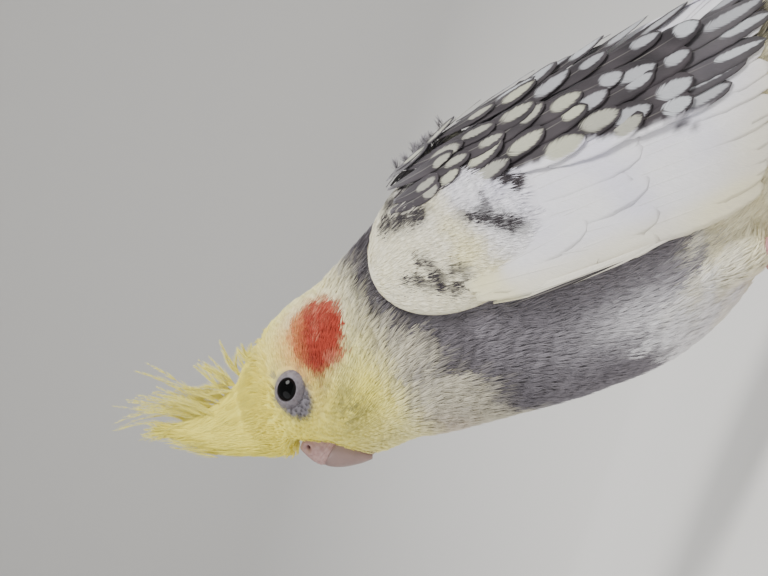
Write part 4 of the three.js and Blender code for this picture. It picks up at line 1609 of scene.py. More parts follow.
ROWS = (PRIMARIES, SECONDARIES, TERTIALS, LONG_COVERTS, SHORT_COVERTS, LOWER_EDGE, DARK_SLIT)
SCRIBBLES = (
    ((17.1, 91.5), (15.6, 84.8), 1.0),
    ((15.6, 84.8), (15.2, 79.9), 1.7),
    ((12.9, 90.0), (14.7, 87.2), 0.6),
    ((30.6, 99.7), (31.4, 96.1), 1.1),
    ((36.6, 101.4), (34.8, 94.3), 0.8),
    ((31.7, 95.5), (34.6, 92.3), 0.9),
    ((31.9, 93.3), (29.3, 87.4), 0.8),
    ((34.8, 90.1), (31.4, 85.6), 0.9),
    ((17.1, 108.2), (13.9, 104.1), 1.4),
    ((26.9, 110.4), (20.6, 102.1), 1.9),
    ((23.2, 112.6), (18.6, 109.5), 1.4),
    ((4.6, 88), (7.3, 84.4), 0.7),
    ((5.1, 84), (4.9, 81.3), 0.7),
    ((-20.5, 50.5), (-21.4, 47.5), 1.0),
    ((-26.9, 54), (-26.8, 49.5), 1.1),
    ((-19.6, 68.4), (-17.6, 60.5), 1.5),
)
DARK_EDGE = np.array((*TIER_LOW, (-33, 38), (-60, 30)), float)[::-1]  # the pearled part's lower edge


def stroke(side: Array, start: tuple[float, float], end: tuple[float, float], radius: float) -> Array:
    """A soft line's strength at places seen from the side."""
    a = np.array(start, float)
    way = np.array(end, float) - a
    share = np.clip(((side - a) @ way) / (way @ way), 0, 1)
    return bump(np.linalg.norm(side - a - share[:, None] * way, axis=1), radius)


@dataclass
class Wing:
    """A folded wing: a pad with small soft feathers, and rows of long ones over the back."""

    seed: int
    left: bool = True
    arm_at: tuple[float, float] = (18.5, 90.5)
    arm_long: float = 26.0
    arm_wide: float = 18.6
    arm_pitch: float = 38.0
    arm_thick: float = 4.3
    sink: float = 1.5
    bed: Outline = field(default_factory=lambda: Outline(BED_STATIONS))

    @property
    def side_name(self) -> str:
        """Left or right, for the pieces' names."""
        return "left" if self.left else "right"

    def light_tone(self, points: Array) -> Array:
        """The pale part's colours: lavender white, yellowish at the front, with grey scribbles."""
        side = points[:, [0, 2]]
        flat = np.stack([points[:, 0], np.zeros(len(points)), points[:, 2]], 1)
        wide = ripple(flat, 16, self.seed)
        fine = ripple(flat, 3.0, self.seed + 1)
        colours = blend(Tone.WHITE, Tone.LAVENDER, 0.5 + 0.6 * wide)
        front = smooth(14, 34, side[:, 0] + 0.25 * (side[:, 1] - 80) + 3 * wide)
        colours = blend(colours, Tone.CREAM, 0.85 * front)
        colours = blend(colours, Tone.STRAW, 0.5 * front * smooth(-0.2, 0.8, wide))
        low = smooth(46, 32, side[:, 1]) + smooth(9, 3, np.abs(turned(side - (17, 59), 47)[1] + 2))
        colours = blend(colours, Tone.CREAM, 0.6 * low)
        bent = side + np.stack([fine, -wide], 1) * 0.8
        return blend(colours, Tone.INK, 0.9 * self.inked(bent))

    @staticmethod
    def pearl_tone(tip: Array) -> Array:
        """The pale drop's colour in the feather whose tip is seen here: bluish to the rear, some dull."""
        dull = 0.5 + 0.5 * math.sin(float(tip @ (2.9, 4.3)))
        return blend(Tone.PEARL if tip[0] > -20 else Tone.ICE, Tone.GREY, 0.45 * dull)

    @staticmethod
    def inked(side: Array) -> Array:
        """How strong the dark scribbles are at places seen from the side."""
        return np.max([stroke(side, start, end, radius) for start, end, radius in SCRIBBLES], axis=0)

    def dark_tone(self, points: Array) -> Array:
        """The pearled part's ground: grey brown."""
        fine = ripple(points, 5, self.seed + 2)
        colours = blend(Tone.CHARCOAL, Tone.INK, 0.5 + 0.5 * fine)
        return blend(colours, Tone.GREY, 0.2 * smooth(98, 112, points[:, 2]))

    def tone_of(self, row: Row) -> Callable[[Array], Array]:
        """The colours of one feather in a row."""

        def tone(points: Array) -> Array:
            """The feather's colours at places on it."""
            light = self.light_tone(points * np.array([1, 1 if self.left else -1, 1]))
            if not row.dark:
                return light
            edge = np.interp(points[:, 0], DARK_EDGE[:, 0], DARK_EDGE[:, 1])
            above = smooth(-1.5, 1.5, points[:, 2] - edge + 1.5 * ripple(points, 3.0, self.seed + 3))
            return blend(light, self.dark_tone(points), row.dark * np.maximum(above, row.dark > 1))

        return tone

    def feather(self, row: Row, u: float, draw: np.random.Generator) -> Vane:
        """One feather at u from the lowest to the highest of its row."""
        root = between(row.roots, u) + 0.4 * draw.normal(size=2)
        tip = between(row.tips, u) + row.jitter * draw.normal(size=2)
        way = tip - root
        size = float(np.linalg.norm(way))
        aside = np.array([-way[1], way[0]]) / size
        bow = float(between(row.bow, u)) * 4
        lift = row.lift - (1.3 * float(smooth(0.7, 1.0, u)) if row.dark else 0.0)

        def spine(s: Array) -> tuple[Array, Array]:
            """The shaft's line at shares of its length, and the way that the feather faces there."""
            flat = root + way * s[:, None] + aside * (bow * s * (1 - s))[:, None]
            return self.bed.place(flat[:, 0], flat[:, 1], lift - row.sink * (1 - s))

        wide, long = np.array(row.pearl) * draw.uniform(0.62, 1.16, 2)
        narrow = 1.0
        if row.dark == 1:
            narrow = 1 - 0.4 * float(smooth(0.6, 0.95, u))
            long *= 1 + 0.5 * float(smooth(0.6, 0.95, u))
        return Vane(
            spine,
            row.half * narrow * draw.uniform(0.92, 1.08),
            self.tone_of(row),
            drop=self.pearl_tone(tip),
            spot=(draw.uniform(-0.25, 0.25), 1 - (long + 0.8) / size, wide * narrow, long),
            pointed=row.pointed,
            tilt=row.tilt,
            rows=34 if size > 45 else 24,
        )

    def pad(self, material: bpy.types.Material) -> bpy.types.Object:
        """The folded arm's skin, an oval lens over the bed, with the marks that a coat needs."""
        pitch = math.radians(self.arm_pitch)
        sides = 72
        turn, ball = ball_rings(41, sides, 0.02)
        p, q = self.arm_long * ball[..., 0], self.arm_wide * ball[..., 1]
        x = self.arm_at[0] + p * math.cos(pitch) - q * math.sin(pitch)
        z = self.arm_at[1] + p * math.sin(pitch) + q * math.cos(pitch)
        bulge = np.abs(np.cos(turn)) ** 0.8
        lift = np.where(turn < math.pi / 2, self.arm_thick * bulge, -self.sink * bulge)
        rings, normals = self.bed.place(x, z, np.broadcast_to(lift, x.shape))
        shell = Shell.of_rings(rings)
        outward = normals.reshape(-1, 3)
        points = shell.points
        bent = np.stack([points[:, 0] - 46, np.zeros(len(points)), points[:, 2] - 118], 1)
        flow = unit(bent) * 0.5 + np.array([-0.5, 0, -0.75])
        flow -= outward * (flow * outward).sum(1, keepdims=True)
        upper = np.repeat((turn[:, 0] < math.pi / 2 + 0.1).astype(float), sides)
        edge = np.hypot(points[:, 0] - self.arm_at[0], points[:, 2] - self.arm_at[1])
        shell.marks = {
            "tone": opaque(self.light_tone(points)),
            "flow": unit(flow),
            "outward": outward,
            "long": 3.0 + 0.08 * edge,
            "density": upper * smooth(2, 14, points[:, 0] + 0.5 * (points[:, 2] - 84)),
            "station": np.ones(len(points)),
            "barb": np.full(len(points), 0.4),
        }
        if not self.left:
            shell = shell.mirrored()
            for name in ("flow", "outward"):
                shell.marks[name] = shell.marks[name] * np.array([1, -1, 1])
        made = new_object(f"arm_{self.side_name}", shell, material)
        corners = np.stack([(points[:, 0] + 25) / 90, (points[:, 2] - 60) / 90], 1)
        put_map(made.data, "Roots", corners[corner_numbers(made.data)])
        return made

    def build(self, grower: CoatGrower, coat: bpy.types.Material, vanes: bpy.types.Material) -> None:
        """Makes the rows, the pad, its small feathers and its dark marks."""
        draw = np.random.default_rng(self.seed)
        feathers = []
        for row in (*ROWS, *tier_rows()):
            for i in range(row.count):
                feathers.append(self.feather(row, (i + row.shift) / (row.count - 0.5), draw))
        if not self.left:
            feathers = [self.mirrored(feather) for feather in feathers]
        made = vane_piece(f"wing_feathers_{self.side_name}", feathers, self.seed, vanes)
        finish_piece(made, "white_feathers", f"wing_{self.side_name}")
        pad = self.pad(coat)
        tuft = Tuft("covert", barbs=8, spread=0.34, width=0.038, base=0.14, seed=9)
        zone = CoatZone(f"wing_coverts_{self.side_name}", tuft, 0, 2, 0.85, 0.8, turn=0.1, seed=self.seed)
        finish_piece(grower.grow(pad, zone, coat), "white_feathers")
        marked = self.marked(pad)
        name = f"wing_marks_{self.side_name}"
        zone = CoatZone(name, tuft, 0, 2, 0.62, 0.86, 0.95, 0.8, seed=self.seed + 9)
        finish_piece(grower.grow(marked, zone, coat), "grey_feathers")
        bpy.data.objects.remove(marked)
        pad.data.uv_layers["Roots"].name = BAKE_MAP
        finish_piece(pad, "white_feathers")

    def marked(self, pad: bpy.types.Object) -> bpy.types.Object:
        """A copy of the pad that grows dark tufts, and only on the scribbles."""
        points = Place.to_drawing(read(pad.data.vertices, "co", 3))
        strength = smooth(0.35, 0.95, self.inked(points[:, [0, 2]])) * (np.abs(points[:, 1]) > 12)
        ink = np.tile([*Tone.CHARCOAL, 1.0], (len(points), 1))
        marked = pad.copy()
        marked.data = pad.data.copy()
        drop_marks(marked.data, "density", "tone")
        put_marks(marked.data, {"density": strength, "tone": ink})
        return marked

    @staticmethod
    def mirrored(feather: Vane) -> Vane:
        """The same feather on the right side."""
        spine = feather.spine
        flip = np.array([1, -1, 1])

        def other(s: Array) -> tuple[Array, Array]:
            """The same line on the right side."""
            at, normal = spine(s)
            return at * flip, normal * flip

        feather.spine = other
        feather.tilt = -feather.tilt
        return feather


@dataclass
class Tail:
    """Twelve long tail feathers laid on the floor, and the coverts round their root."""

    pairs: int = 6
    root: float = -70.0
    lengths: tuple[float, ...] = (144, 133, 120, 107, 94, 82)
    middle_y: float = 1.7
    side_y: tuple[float, float] = (4.7, 0.95)
    half: float = 4.5
    layer: float = 0.85
    root_height: float = 23.5
    floor_x: float = -146.0
    coverts: int = 9

    def height(self, x: Array) -> Array:
        """Height over the floor of the lowest feather at x."""
        share = np.clip((x - self.floor_x) / (self.root - self.floor_x), 0, 1)
        return 0.35 + (self.root_height - 0.35) * share**1.35

    def over(self, pair: int, x: Array) -> Array:
        """How far a feather lies over the lowest one at x."""
        total = np.zeros_like(x)
        for under in range(pair + 1, self.pairs):
            tip = self.root - self.lengths[under]
            total += self.layer * smooth(tip - 16, tip, x)
        return total

    def tone(self, points: Array) -> Array:
        """Pale yellow, whiter to the end."""
        colours = blend(Tone.STRAW, Tone.LEMON, 0.45 + 0.4 * ripple(points, 30, SEED + 8))
        return blend(colours, Tone.CREAM, smooth(-120, -200, points[:, 0]))

    def long_feather(self, pair: int, side: int) -> Vane:
        """One of a pair, the middle pair being 0."""
        length = self.lengths[pair]
        y = self.middle_y if pair == 0 else self.side_y[0] + self.side_y[1] * (pair - 1)

        def spine(s: Array) -> tuple[Array, Array]:
            """The shaft's line at shares of its length, and the way that the feather faces there."""
            x = self.root - 6 - (length - 6) * s
            over = self.layer if pair == 0 and side > 0 else 0.0
            z = self.height(x) + self.over(pair, x) + over * (1 - s)
            spread = 0.7 + 0.3 * np.sin(s * math.pi / 2)
            up = np.tile([0.0, 0.0, 1.0], (len(s), 1))
            return np.stack([x, side * y * spread, z], 1), up

        return Vane(spine, self.half, self.tone, pointed=True, tilt=0, camber=0.012, thick=0.4, rows=40)

    def covert(self, i: int, count: int, above: bool, row: int) -> Vane:
        """A short feather over or under the tail's root."""
        u = i / (count - 1)
        y = (u - 0.5) * 13
        length = (33 if above else 38) * (1 - 0.5 * abs(u - 0.5)) * (1 - 0.3 * row)
        sign = 1 if above else -1

        def spine(s: Array) -> tuple[Array, Array]:
            """The shaft's line at shares of its length, and the way that the feather faces there."""
            x = self.root - 6 - length * s
            middle = self.height(x) + 2.4
            rise = (5.4 - 3.2 * s) if above else (3.6 - 1.1 * s)
            rise = rise + 0.5 * row * (1 - s)
            curve = 1 - (y * y / 80) * (1 - s * 0.5)
            normal = np.tile(unit(np.array([0.0, 0.09 * y, sign])), (len(s), 1))
            return np.stack([x, y * (1 - 0.25 * s), middle + sign * rise * curve], 1), normal

        return Vane(spine, 3.6, self.tone, tilt=0, camber=0.02, rows=22)

    def build(self, vanes: bpy.types.Material) -> None:
        """Makes all the tail's feathers as one piece."""
        feathers = [self.long_feather(pair, side) for pair in range(self.pairs) for side in (1, -1)]
        for above in (True, False):
            for row in (0, 1):
                count = self.coverts - row
                feathers += [self.covert(i, count, above, row) for i in range(count)]
        made = vane_piece("tail_feathers", feathers, SEED + 20, vanes)
        finish_piece(made, "yellow_feathers", "tail")


def blades(middle: Array, out: Array, half: Array) -> Shell:
    """Many thin closed barbs at once, three-sided and pointed.

    Args:
        middle: Their middle lines, as barb, knot and coordinate.
        out: The direction that each one's ridge faces.
        half: Half widths at the knots, one row for each barb or one for all.

    Returns:
        One shell of them all.
    """
    count, knots = middle.shape[:2]
    along = unit(middle[:, -1] - middle[:, 0])
    side = unit(np.cross(along, out))
    ridge = np.cross(side, along)
    wide = np.broadcast_to(half, (count, knots))[..., None, None]
    corners = np.stack([-side, side, 0.9 * ridge], 1)[:, None]
    points = (middle[:, :, None] + corners * wide).reshape(-1, 3)
    last = 3 * (knots - 1)
    pattern = [(0, 1, 2), (last + 2, last + 1, last)]
    for k in range(0, last, 3):
        pattern += [(k + a, k + 3 + a, k + 3 + b, k + b) for a, b in ((0, 1), (1, 2), (2, 0))]
    starts = range(0, count * knots * 3, knots * 3)
    faces = [tuple(first + i for i in face) for first in starts for face in pattern]
    return Shell(points, faces)


@dataclass(frozen=True)
class Lock:
    """A thin lock of the crest, seen from the side: its root, its tip, its bow and its feathers."""

    root: tuple[float, float]
    tip: tuple[float, float]
    bow: float
    count: int


LOCKS = (
    Lock((95, 134), (97.4, 149.5), -0.8, 6),
    Lock((92, 139), (99.3, 162.2), 3.0, 4),
    Lock((91, 140), (94.2, 163.5), 1.2, 5),
    Lock((88, 139), (87.2, 155), 0.6, 5),
    Lock((86, 138), (83.6, 160.4), 0.8, 3),
    Lock((79, 136), (75.2, 146.8), 0.4, 5),
    Lock((75, 134), (68.4, 140.2), -0.6, 5),
    Lock((71, 132), (66.4, 135.6), -0.4, 4),
    Lock((87.5, 139), (91.5, 157), 1.0, 9),
    Lock((85, 138), (87.2, 152), 0.7, 9),
    Lock((82.5, 137), (84, 146.5), 0.6, 8),
    Lock((79, 135.5), (79.6, 142), 0.4, 6),
)


@dataclass
class Crest:
    """The crest's loose feathers: a brush that carries on its core's lie, and thin locks."""

    core: Outline
    fill: int = 110
    barbs: int = 44
    reach: tuple[float, float] = (3.4, 0.4)
    from_to: tuple[float, float] = (2.0, 4.7)

    def feather(
        self, start: Array, end: Array, bow: float, facing: Array, draw: np.random.Generator
    ) -> Shell:
        """One feather: a shaft and its barbs.

        Args:
            start: Its root.
            end: Its tip.
            bow: How far its middle lies behind the straight line.
            facing: The direction that its flat side faces.
            draw: The random numbers.

        Returns:
            Its shell.
        """
        s = np.linspace(0, 1, 12)[:, None]
        aside = unit(np.cross(np.array([0.0, 1.0, 0.0]), end - start))
        middle = start + (end - start) * s - aside * (4 * bow * s * (1 - s))
        way = unit(np.gradient(middle, axis=0))
        plane = unit(np.cross(way, facing))
        out = np.cross(plane, way)
        stem = blades(middle[None], out[:1], 0.12 * (1 - 0.85 * s[:, 0]))
        share = np.sort(draw.uniform(0.02, 0.98, self.barbs))
        k = share * 11
        base = spline(middle, k)
        ahead, across, over = (unit(spline(ways, k)) for ways in (way, plane, out))
        side = np.where(np.arange(self.barbs) % 2, 1.0, -1.0)[:, None]
        reach = self.reach[0] * (1 - share) ** 0.8 * draw.uniform(0.6, 1.2, self.barbs) + self.reach[1]
        reach = reach[:, None]
        barb_way = unit(ahead * 3.6 + across * side + over * draw.uniform(-0.5, 0.5, (self.barbs, 1)))
        steps = np.array([0, 0.5, 1.0])
        knots = base[:, None] + barb_way[:, None] * (reach * steps)[..., None]
        knots = knots + ahead[:, None] * (reach * 0.3 * steps**2)[..., None]
        barbs = blades(knots, over, np.array([0.065, 0.055, 0.01]))
        shades = np.repeat(draw.uniform(0.2, 0.8, self.barbs), 9)
        pale = np.concatenate([np.repeat(s[:, 0], 3), np.repeat(share, 9)])
        made = joined([stem, barbs])
        made.marks = {
            "tone": opaque(blend(Tone.LEMON, Tone.STRAW, 0.4 * pale)),
            "barb": np.concatenate([np.full(len(stem.points), 0.6), shades]),
        }
        return made

    def brush(self, draw: np.random.Generator) -> Shell:
        """One feather that grows out of the core."""
        place = np.array(draw.uniform(*self.from_to))
        turn = np.array(draw.uniform(0, 2 * math.pi))
        start = self.core.point(place, turn, -1.0)
        way = unit(self.core.point(place + 0.1, turn) - self.core.point(place - 0.1, turn))
        end = start + (way + 0.06 * draw.normal(size=3)) * draw.uniform(8.0, 15.0)
        facing = unit(self.core.normal(place, turn) + 0.3 * draw.normal(size=3))
        return self.feather(start, end, draw.uniform(-0.2, 0.5), facing, draw)

    def build(self, material: bpy.types.Material) -> None:
        """Makes the crest's loose feathers as one piece."""
        draw = np.random.default_rng(SEED + 30)
        shells = [self.brush(draw) for _ in range(self.fill)]
        for lock in LOCKS:
            for _ in range(lock.count):
                y = draw.normal() * 1.3
                root = np.array([lock.root[0], y, lock.root[1]]) + draw.normal(size=3) * 1.2
                tip = np.array([lock.tip[0], 1.4 * y, lock.tip[1]]) + draw.normal(size=3) * 1.4
                facing = unit(np.array([0.0, 1.0, 0.0]) + 0.4 * draw.normal(size=3))
                shells.append(self.feather(root, tip, lock.bow * draw.uniform(0.7, 1.3), facing, draw))
        finish_piece(loose_piece("crest", shells, material), "yellow_feathers")


def loose_piece(name: str, shells: Sequence[Shell], material: bpy.types.Material) -> bpy.types.Object:
    """Makes one object of many loose feathers, each in its own cell of the bake map."""
    whole = joined(shells)
    made = new_object(name, whole, material)
    cell = cell_numbers(shells)
    low = np.array([shell.points.min(0) for shell in shells])[cell]
    high = np.array([shell.points.max(0) for shell in shells])[cell]
    put_atlas(made.data, len(shells), cell, ((whole.points - low) / (high - low))[:, [0, 2]], 0.1)
    return made


@dataclass
class Ruffle:
    """A few dark feathers that stand up from the back."""

    count: int = 24
    barbs: int = 40
    at: tuple[float, float, float] = (5.0, 7.0, 107.0)
    way: tuple[float, float, float] = (-0.85, 0.1, 0.5)
    reach: tuple[float, float] = (2.6, 2.2)
    length: tuple[float, float] = (3.5, 6.0)

    def build(self, material: bpy.types.Material) -> None:
        """Makes the tuft as one piece."""
        draw = np.random.default_rng(SEED + 31)
        shells = []
        for _ in range(self.count):
            start = np.array(self.at) + draw.normal(size=3) * (self.reach[0], self.reach[1], 0.6)
            start[2] += 0.5 * (start[0] - self.at[0])
            way = unit(np.array(self.way) + draw.normal(size=3) * 0.22)
            length = draw.uniform(*self.length)
            out = unit(np.cross(way, draw.normal(size=3)))
            across = np.cross(out, way)
            share = draw.uniform(0.15, 1, (self.barbs, 1))
            side = np.where(np.arange(self.barbs) % 2, 1.0, -1.0)[:, None]
            base = start + way * length * share * 0.8
            aside = across * side * draw.uniform(0.2, 0.6, (self.barbs, 1))
            tips = base + (way + aside) * (3.2 - 1.6 * share)
            middle = np.stack([base, (base * 0.5 + tips * 0.5) + way * 0.15, tips], 1)
            made = blades(middle, np.tile(out, (self.barbs, 1)), np.array([0.045, 0.04, 0.01]))
            knots = start + way * (length * np.array([[0], [0.5], [1]]))
            stem = blades(knots[None], out[None], np.array([0.08, 0.06, 0.02]))
            both = joined([made, stem])
            height = (both.points - start) @ way / length
            tone = blend(Tone.CHARCOAL, Tone.SILVER, 0.2 + 0.5 * smooth(0.5, 1.1, height))
            shade = np.repeat(draw.uniform(0.2, 0.8, len(tone) // 3 + 1), 3)[: len(tone)]
            both.marks = {"tone": opaque(tone), "barb": shade}
            shells.append(both)
        finish_piece(loose_piece("back_tuft", shells, material), "grey_feathers")


@dataclass
class Bill:
    """The hooked bill, the jaw under it and the soft cere with its nostrils."""

    cere_reach: tuple[float, float] = (-0.32, 1.12)
    cere_swell: float = 0.95
    nostril: tuple[float, float] = (0.08, 0.98)
    nostril_radius: float = 0.8

    def build(self, horn: bpy.types.Material, cere: bpy.types.Material) -> None:
        """Makes the three pieces."""
        horn_shell = Outline(BILL_STATIONS).shell(10, 48, lambda t: -1.5 * smooth(1.15, 0.85, t))
        upper = new_object("bill_upper", horn_shell, horn)
        finish_piece(upper, "bill", "beak_upper")
        lower = new_object("bill_lower", Outline(JAW_STATIONS).shell(10, 40), horn)
        finish_piece(lower, "bill", "beak_lower")
        finish_piece(new_object("cere_skin", self.cere_shell(), cere), "skin", "cere")

    def cere_shell(self) -> Shell:
        """The cere: a soft band round the bill's root, with two round nostrils sunk into it and marked for
        painted shade inside.
        """
        bill = Outline(BILL_STATIONS)
        turn = np.arange(120) / 120 * 2 * math.pi
        t, angle = np.meshgrid(np.linspace(*self.cere_reach, 70), turn, indexing="ij")
        share = (t - self.cere_reach[0]) / (self.cere_reach[1] - self.cere_reach[0])
        grow = self.cere_swell * np.sqrt(np.maximum(np.sin(share * math.pi), 0)) - 0.3
        points = bill.point(t, angle)
        # how far into each nostril a place lies: it sinks the cere and sets the painted shade there
        pit = np.zeros(t.shape)
        for side in (1, -1):
            middle = bill.point(np.array(self.nostril[0]), np.array(side * self.nostril[1]), 0.3)
            away = np.linalg.norm(points - middle, axis=-1)
            pit += bump(away, self.nostril_radius)
            grow = grow + 0.35 * bump(away - 1.5, 0.7)
        wrinkle = 0.09 * np.sin(t * 34 + 2 * np.sin(angle * 3)) * smooth(0.45, 0.8, t)
        shell = Shell.of_rings(bill.point(t, angle, grow + wrinkle - 1.2 * pit))
        shell.marks = {"pit": pit.ravel()}
        return shell


@dataclass
class Eye:
    """An eye with its lids."""

    outline: Outline
    left: bool
    radius: float = 4.6
    depth: float = 3.64
    opening: tuple[float, float] = (3.1, 2.5)
    rim: float = 2.95  # the profile's reach at the opening's edge
    profile: tuple[tuple[float, float], ...] = (
        (2.75, -0.2),
        (2.8, 0.12),
        (2.95, 0.28),
        (3.2, 0.26),
        (3.5, 0.08),
        (3.9, -0.2),
        (4.6, -0.7),
        (5.4, -1.6),
        (5.0, -2.3),
        (3.6, -1.6),
    )

    def frame(self) -> tuple[Array, Array, Array, Array]:
        """The eye's place on the surface, and the directions out, forward and up there."""
        at, out = self.outline.place(*EYE_AT)
        forward = unit(np.array([1.0, 0, 0]) - out * out[0])
        return at, out, forward, np.cross(out, forward)

    def build(self, ball: bpy.types.Material, lid: bpy.types.Material) -> None:
        """Makes the ball and the lids."""
        name = "left" if self.left else "right"
        made = new_object(f"eyeball_{name}", self.ball_shell(), ball)
        finish_piece(made, "eye", f"eye_{name}")
        finish_piece(new_object(f"eyelids_{name}", self.lid_shell(), lid), "skin")

    def ball_shell(self) -> Shell:
        """The eyeball, with the pupil's reach kept at its vertices."""
        at, out, forward, up = self.frame()
        sides = 64
        turn, ball = ball_rings(49, sides, 0.002)
        rings = at - out * self.depth + self.radius * ball @ np.array([forward, up, out])
        shell = Shell.of_rings(rings)
        shell.marks = {"pupil": np.repeat(np.sin(turn[:, 0]) + (turn[:, 0] > 1.6), sides)}
        return shell if self.left else shell.mirrored()

    def lid_shell(self) -> Shell:
        """The bare skin round the opening, wider in front and below, with painted shade in its fold towards
        the eye.
        """
        turns = 96
        angle = np.arange(turns) / turns * 2 * math.pi
        wide = 1 + 0.12 * np.clip(np.cos(angle + 0.9), 0, 1) ** 1.5
        rings = []
        for reach, height in self.profile:
            past = smooth(3.4, 6.6, reach)
            grow = 1 + (wide - 1) * past
            fold = 0.05 * np.sin(angle * 23 + reach * 6) * smooth(2.9, 3.4, reach)
            x = EYE_AT[0] + reach * grow * np.cos(angle) * (self.opening[0] / self.rim)
            z = EYE_AT[1] + reach * grow * np.sin(angle) * (self.opening[1] / self.rim)
            points, _ = self.outline.place(x, z, height + fold - 0.3 * past)
            rings.append(points)
        faces = []
        for r in range(len(rings)):
            after = (r + 1) % len(rings)
            for i in range(turns):
                j = (i + 1) % turns
                faces.append((r * turns + i, after * turns + i, after * turns + j, r * turns + j))
        reach = np.repeat([reach for reach, _ in self.profile], turns)
        # the fold towards the eye is marked for painted shade
        shell = Shell(np.concatenate(rings), faces, {"pit": smooth(3.15, 2.85, reach)}).outward()
        return shell if self.left else shell.mirrored()


@dataclass(frozen=True)
class Toe:
    """One toe: its turn from straight ahead in degrees, its length and its claw's length."""

    name: str
    angle: float
    length: float
    claw: float


TOES = (
    Toe("front_outer", 17, 19, 7.2),
    Toe("front_inner", -19, 13.5, 6),
    Toe("back_outer", 152, 16, 6.6),
    Toe("back_inner", -158, 10.5, 5.6),
)


@dataclass
class Leg:
    """A scaly shank and a foot with two toes forward and two back."""

    left: bool
    ankle: tuple[float, float, float] = (-1.0, 13.5, 21.5)
    shank_radii: tuple[float, ...] = (2.7, 1.9, 1.95, 2.6)
    palm_radius: float = 3.5
    palm_height: float = 2.6
    toe_height: float = 1.75
    toe_radius: float = 1.9
    claw_radius: float = 1.1

    def scaled(self, shell: Shell, size: float, seed: int) -> Shell:
        """Raises low rounded scales on a shell, by folds across it."""
        centre = shell.points.mean(0)
        out = unit(shell.points - centre)
        field_a = ripple(shell.points, size, seed, 1)
        field_b = ripple(shell.points, size, seed + 1, 1)
        crease = bump(field_a, 0.12) + bump(field_b, 0.12)
        return Shell(shell.points - out * (0.1 * crease)[:, None], shell.faces, shell.marks)

    def shank(self) -> Shell:
        """The bare leg from the thigh's feathers to the foot."""
        x, y = FOOT
        ax, ay, az = self.ankle
        upper, middle = (ax, ay, az + 1), ((ax + x) / 2, y, az / 2 + 0.5)
        knots = np.array([upper, (ax - 0.4, ay, az - 3), middle, (x, y, self.palm_height)])
        return self.ringed(tube(knots, np.array(self.shank_radii), 28, 20), 28, 1.5)

    def ringed(self, shell: Shell, sides: int, pitch: float) -> Shell:
        """Turns a tube's rings into scutes, each with a step at its lower edge."""
        rings = shell.points.reshape(-1, sides, 3)
        middle = rings.mean(1, keepdims=True)
        travel = np.concatenate([[0], np.cumsum(np.linalg.norm(np.diff(middle[:, 0], axis=0), axis=1))])
        phase = (travel / pitch) % 1
        top = smooth(-0.2, 0.7, (rings - middle)[..., 2] / np.linalg.norm(rings - middle, axis=-1).mean())
        out = unit(rings - middle)
        rings = rings + out * (0.16 * (phase - 0.4))[:, None, None] * (0.35 + 0.65 * top)[..., None]
        return Shell(rings.reshape(-1, 3), shell.faces, shell.marks)

    def toe_way(self, toe: Toe) -> tuple[Array, Array]:
        """The toe's start and direction."""
        turn = math.radians(toe.angle)
        return np.array([*FOOT, self.toe_height]), np.array([math.cos(turn), math.sin(turn), 0.0])

    def toe(self, toe: Toe) -> Shell:
        """A toe with pads under it and scutes on top."""
        start, along = self.toe_way(toe)
        shares = np.array([0, 0.3, 0.55, 0.8, 1.0])
        rises = np.array([0, 0.3, 0, 0.2, 0.1])
        knots = start + along * (toe.length * shares)[:, None] + np.array([0, 0, 1]) * rises[:, None]
        radii = self.toe_radius * np.array([0.95, 1.04, 0.9, 0.98, 0.68])
        made = self.ringed(tube(knots, radii, 24, 14, 0.95), 24, 1.25)
        made.points[:, 2] = np.maximum(made.points[:, 2], 0.03)
        return made

    def claw(self, toe: Toe) -> Shell:
        """A curved claw."""
        start, along = self.toe_way(toe)
        end = start + along * toe.length
        shares = np.array([-0.12, 0.2, 0.5, 0.8, 1.0])
        rises = np.array([0.1, 0.75, 0.6, -0.25, -1.25])
        knots = end + along * (toe.claw * shares)[:, None] + np.array([0, 0, 1]) * rises[:, None]
        radii = self.claw_radius * np.array([1.0, 0.9, 0.68, 0.42, 0.12])
        made = tube(knots, radii, 16, 8)
        made.points[:, 2] = np.maximum(made.points[:, 2], 0.03)
        return made

    def palm(self) -> Shell:
        """The pad where the toes meet."""
        _, ball = ball_rings(25, 36, 0.01)
        size = (self.palm_radius, self.palm_radius, self.palm_height + 0.2)
        points = np.array([*FOOT, self.palm_height]) + ball * size
        points[..., 2] = np.maximum(points[..., 2], 0.03)
        return Shell.of_rings(points)

    def build(self, skin: bpy.types.Material, horn: bpy.types.Material) -> None:
        """Makes the shank, the foot and the claws."""
        name = "left" if self.left else "right"
        shank = self.scaled(self.shank(), 3.0, SEED + 40)
        foot = joined([self.scaled(shell, 2.4, SEED + 41) for shell in (self.palm(), *map(self.toe, TOES))])
        claws = joined([self.claw(toe) for toe in TOES])
        if not self.left:
            shank, foot, claws = shank.mirrored(), foot.mirrored(), claws.mirrored()
        finish_piece(new_object(f"leg_{name}", shank, skin), "skin", f"shank_{name}")
        finish_piece(new_object(f"toes_{name}", foot, skin), "skin", f"foot_{name}")
        nodes = [f"claw_{name}_{toe.name}" for toe in TOES]
        finish_piece(new_object(f"claws_{name}", claws, horn), "claw", *nodes)


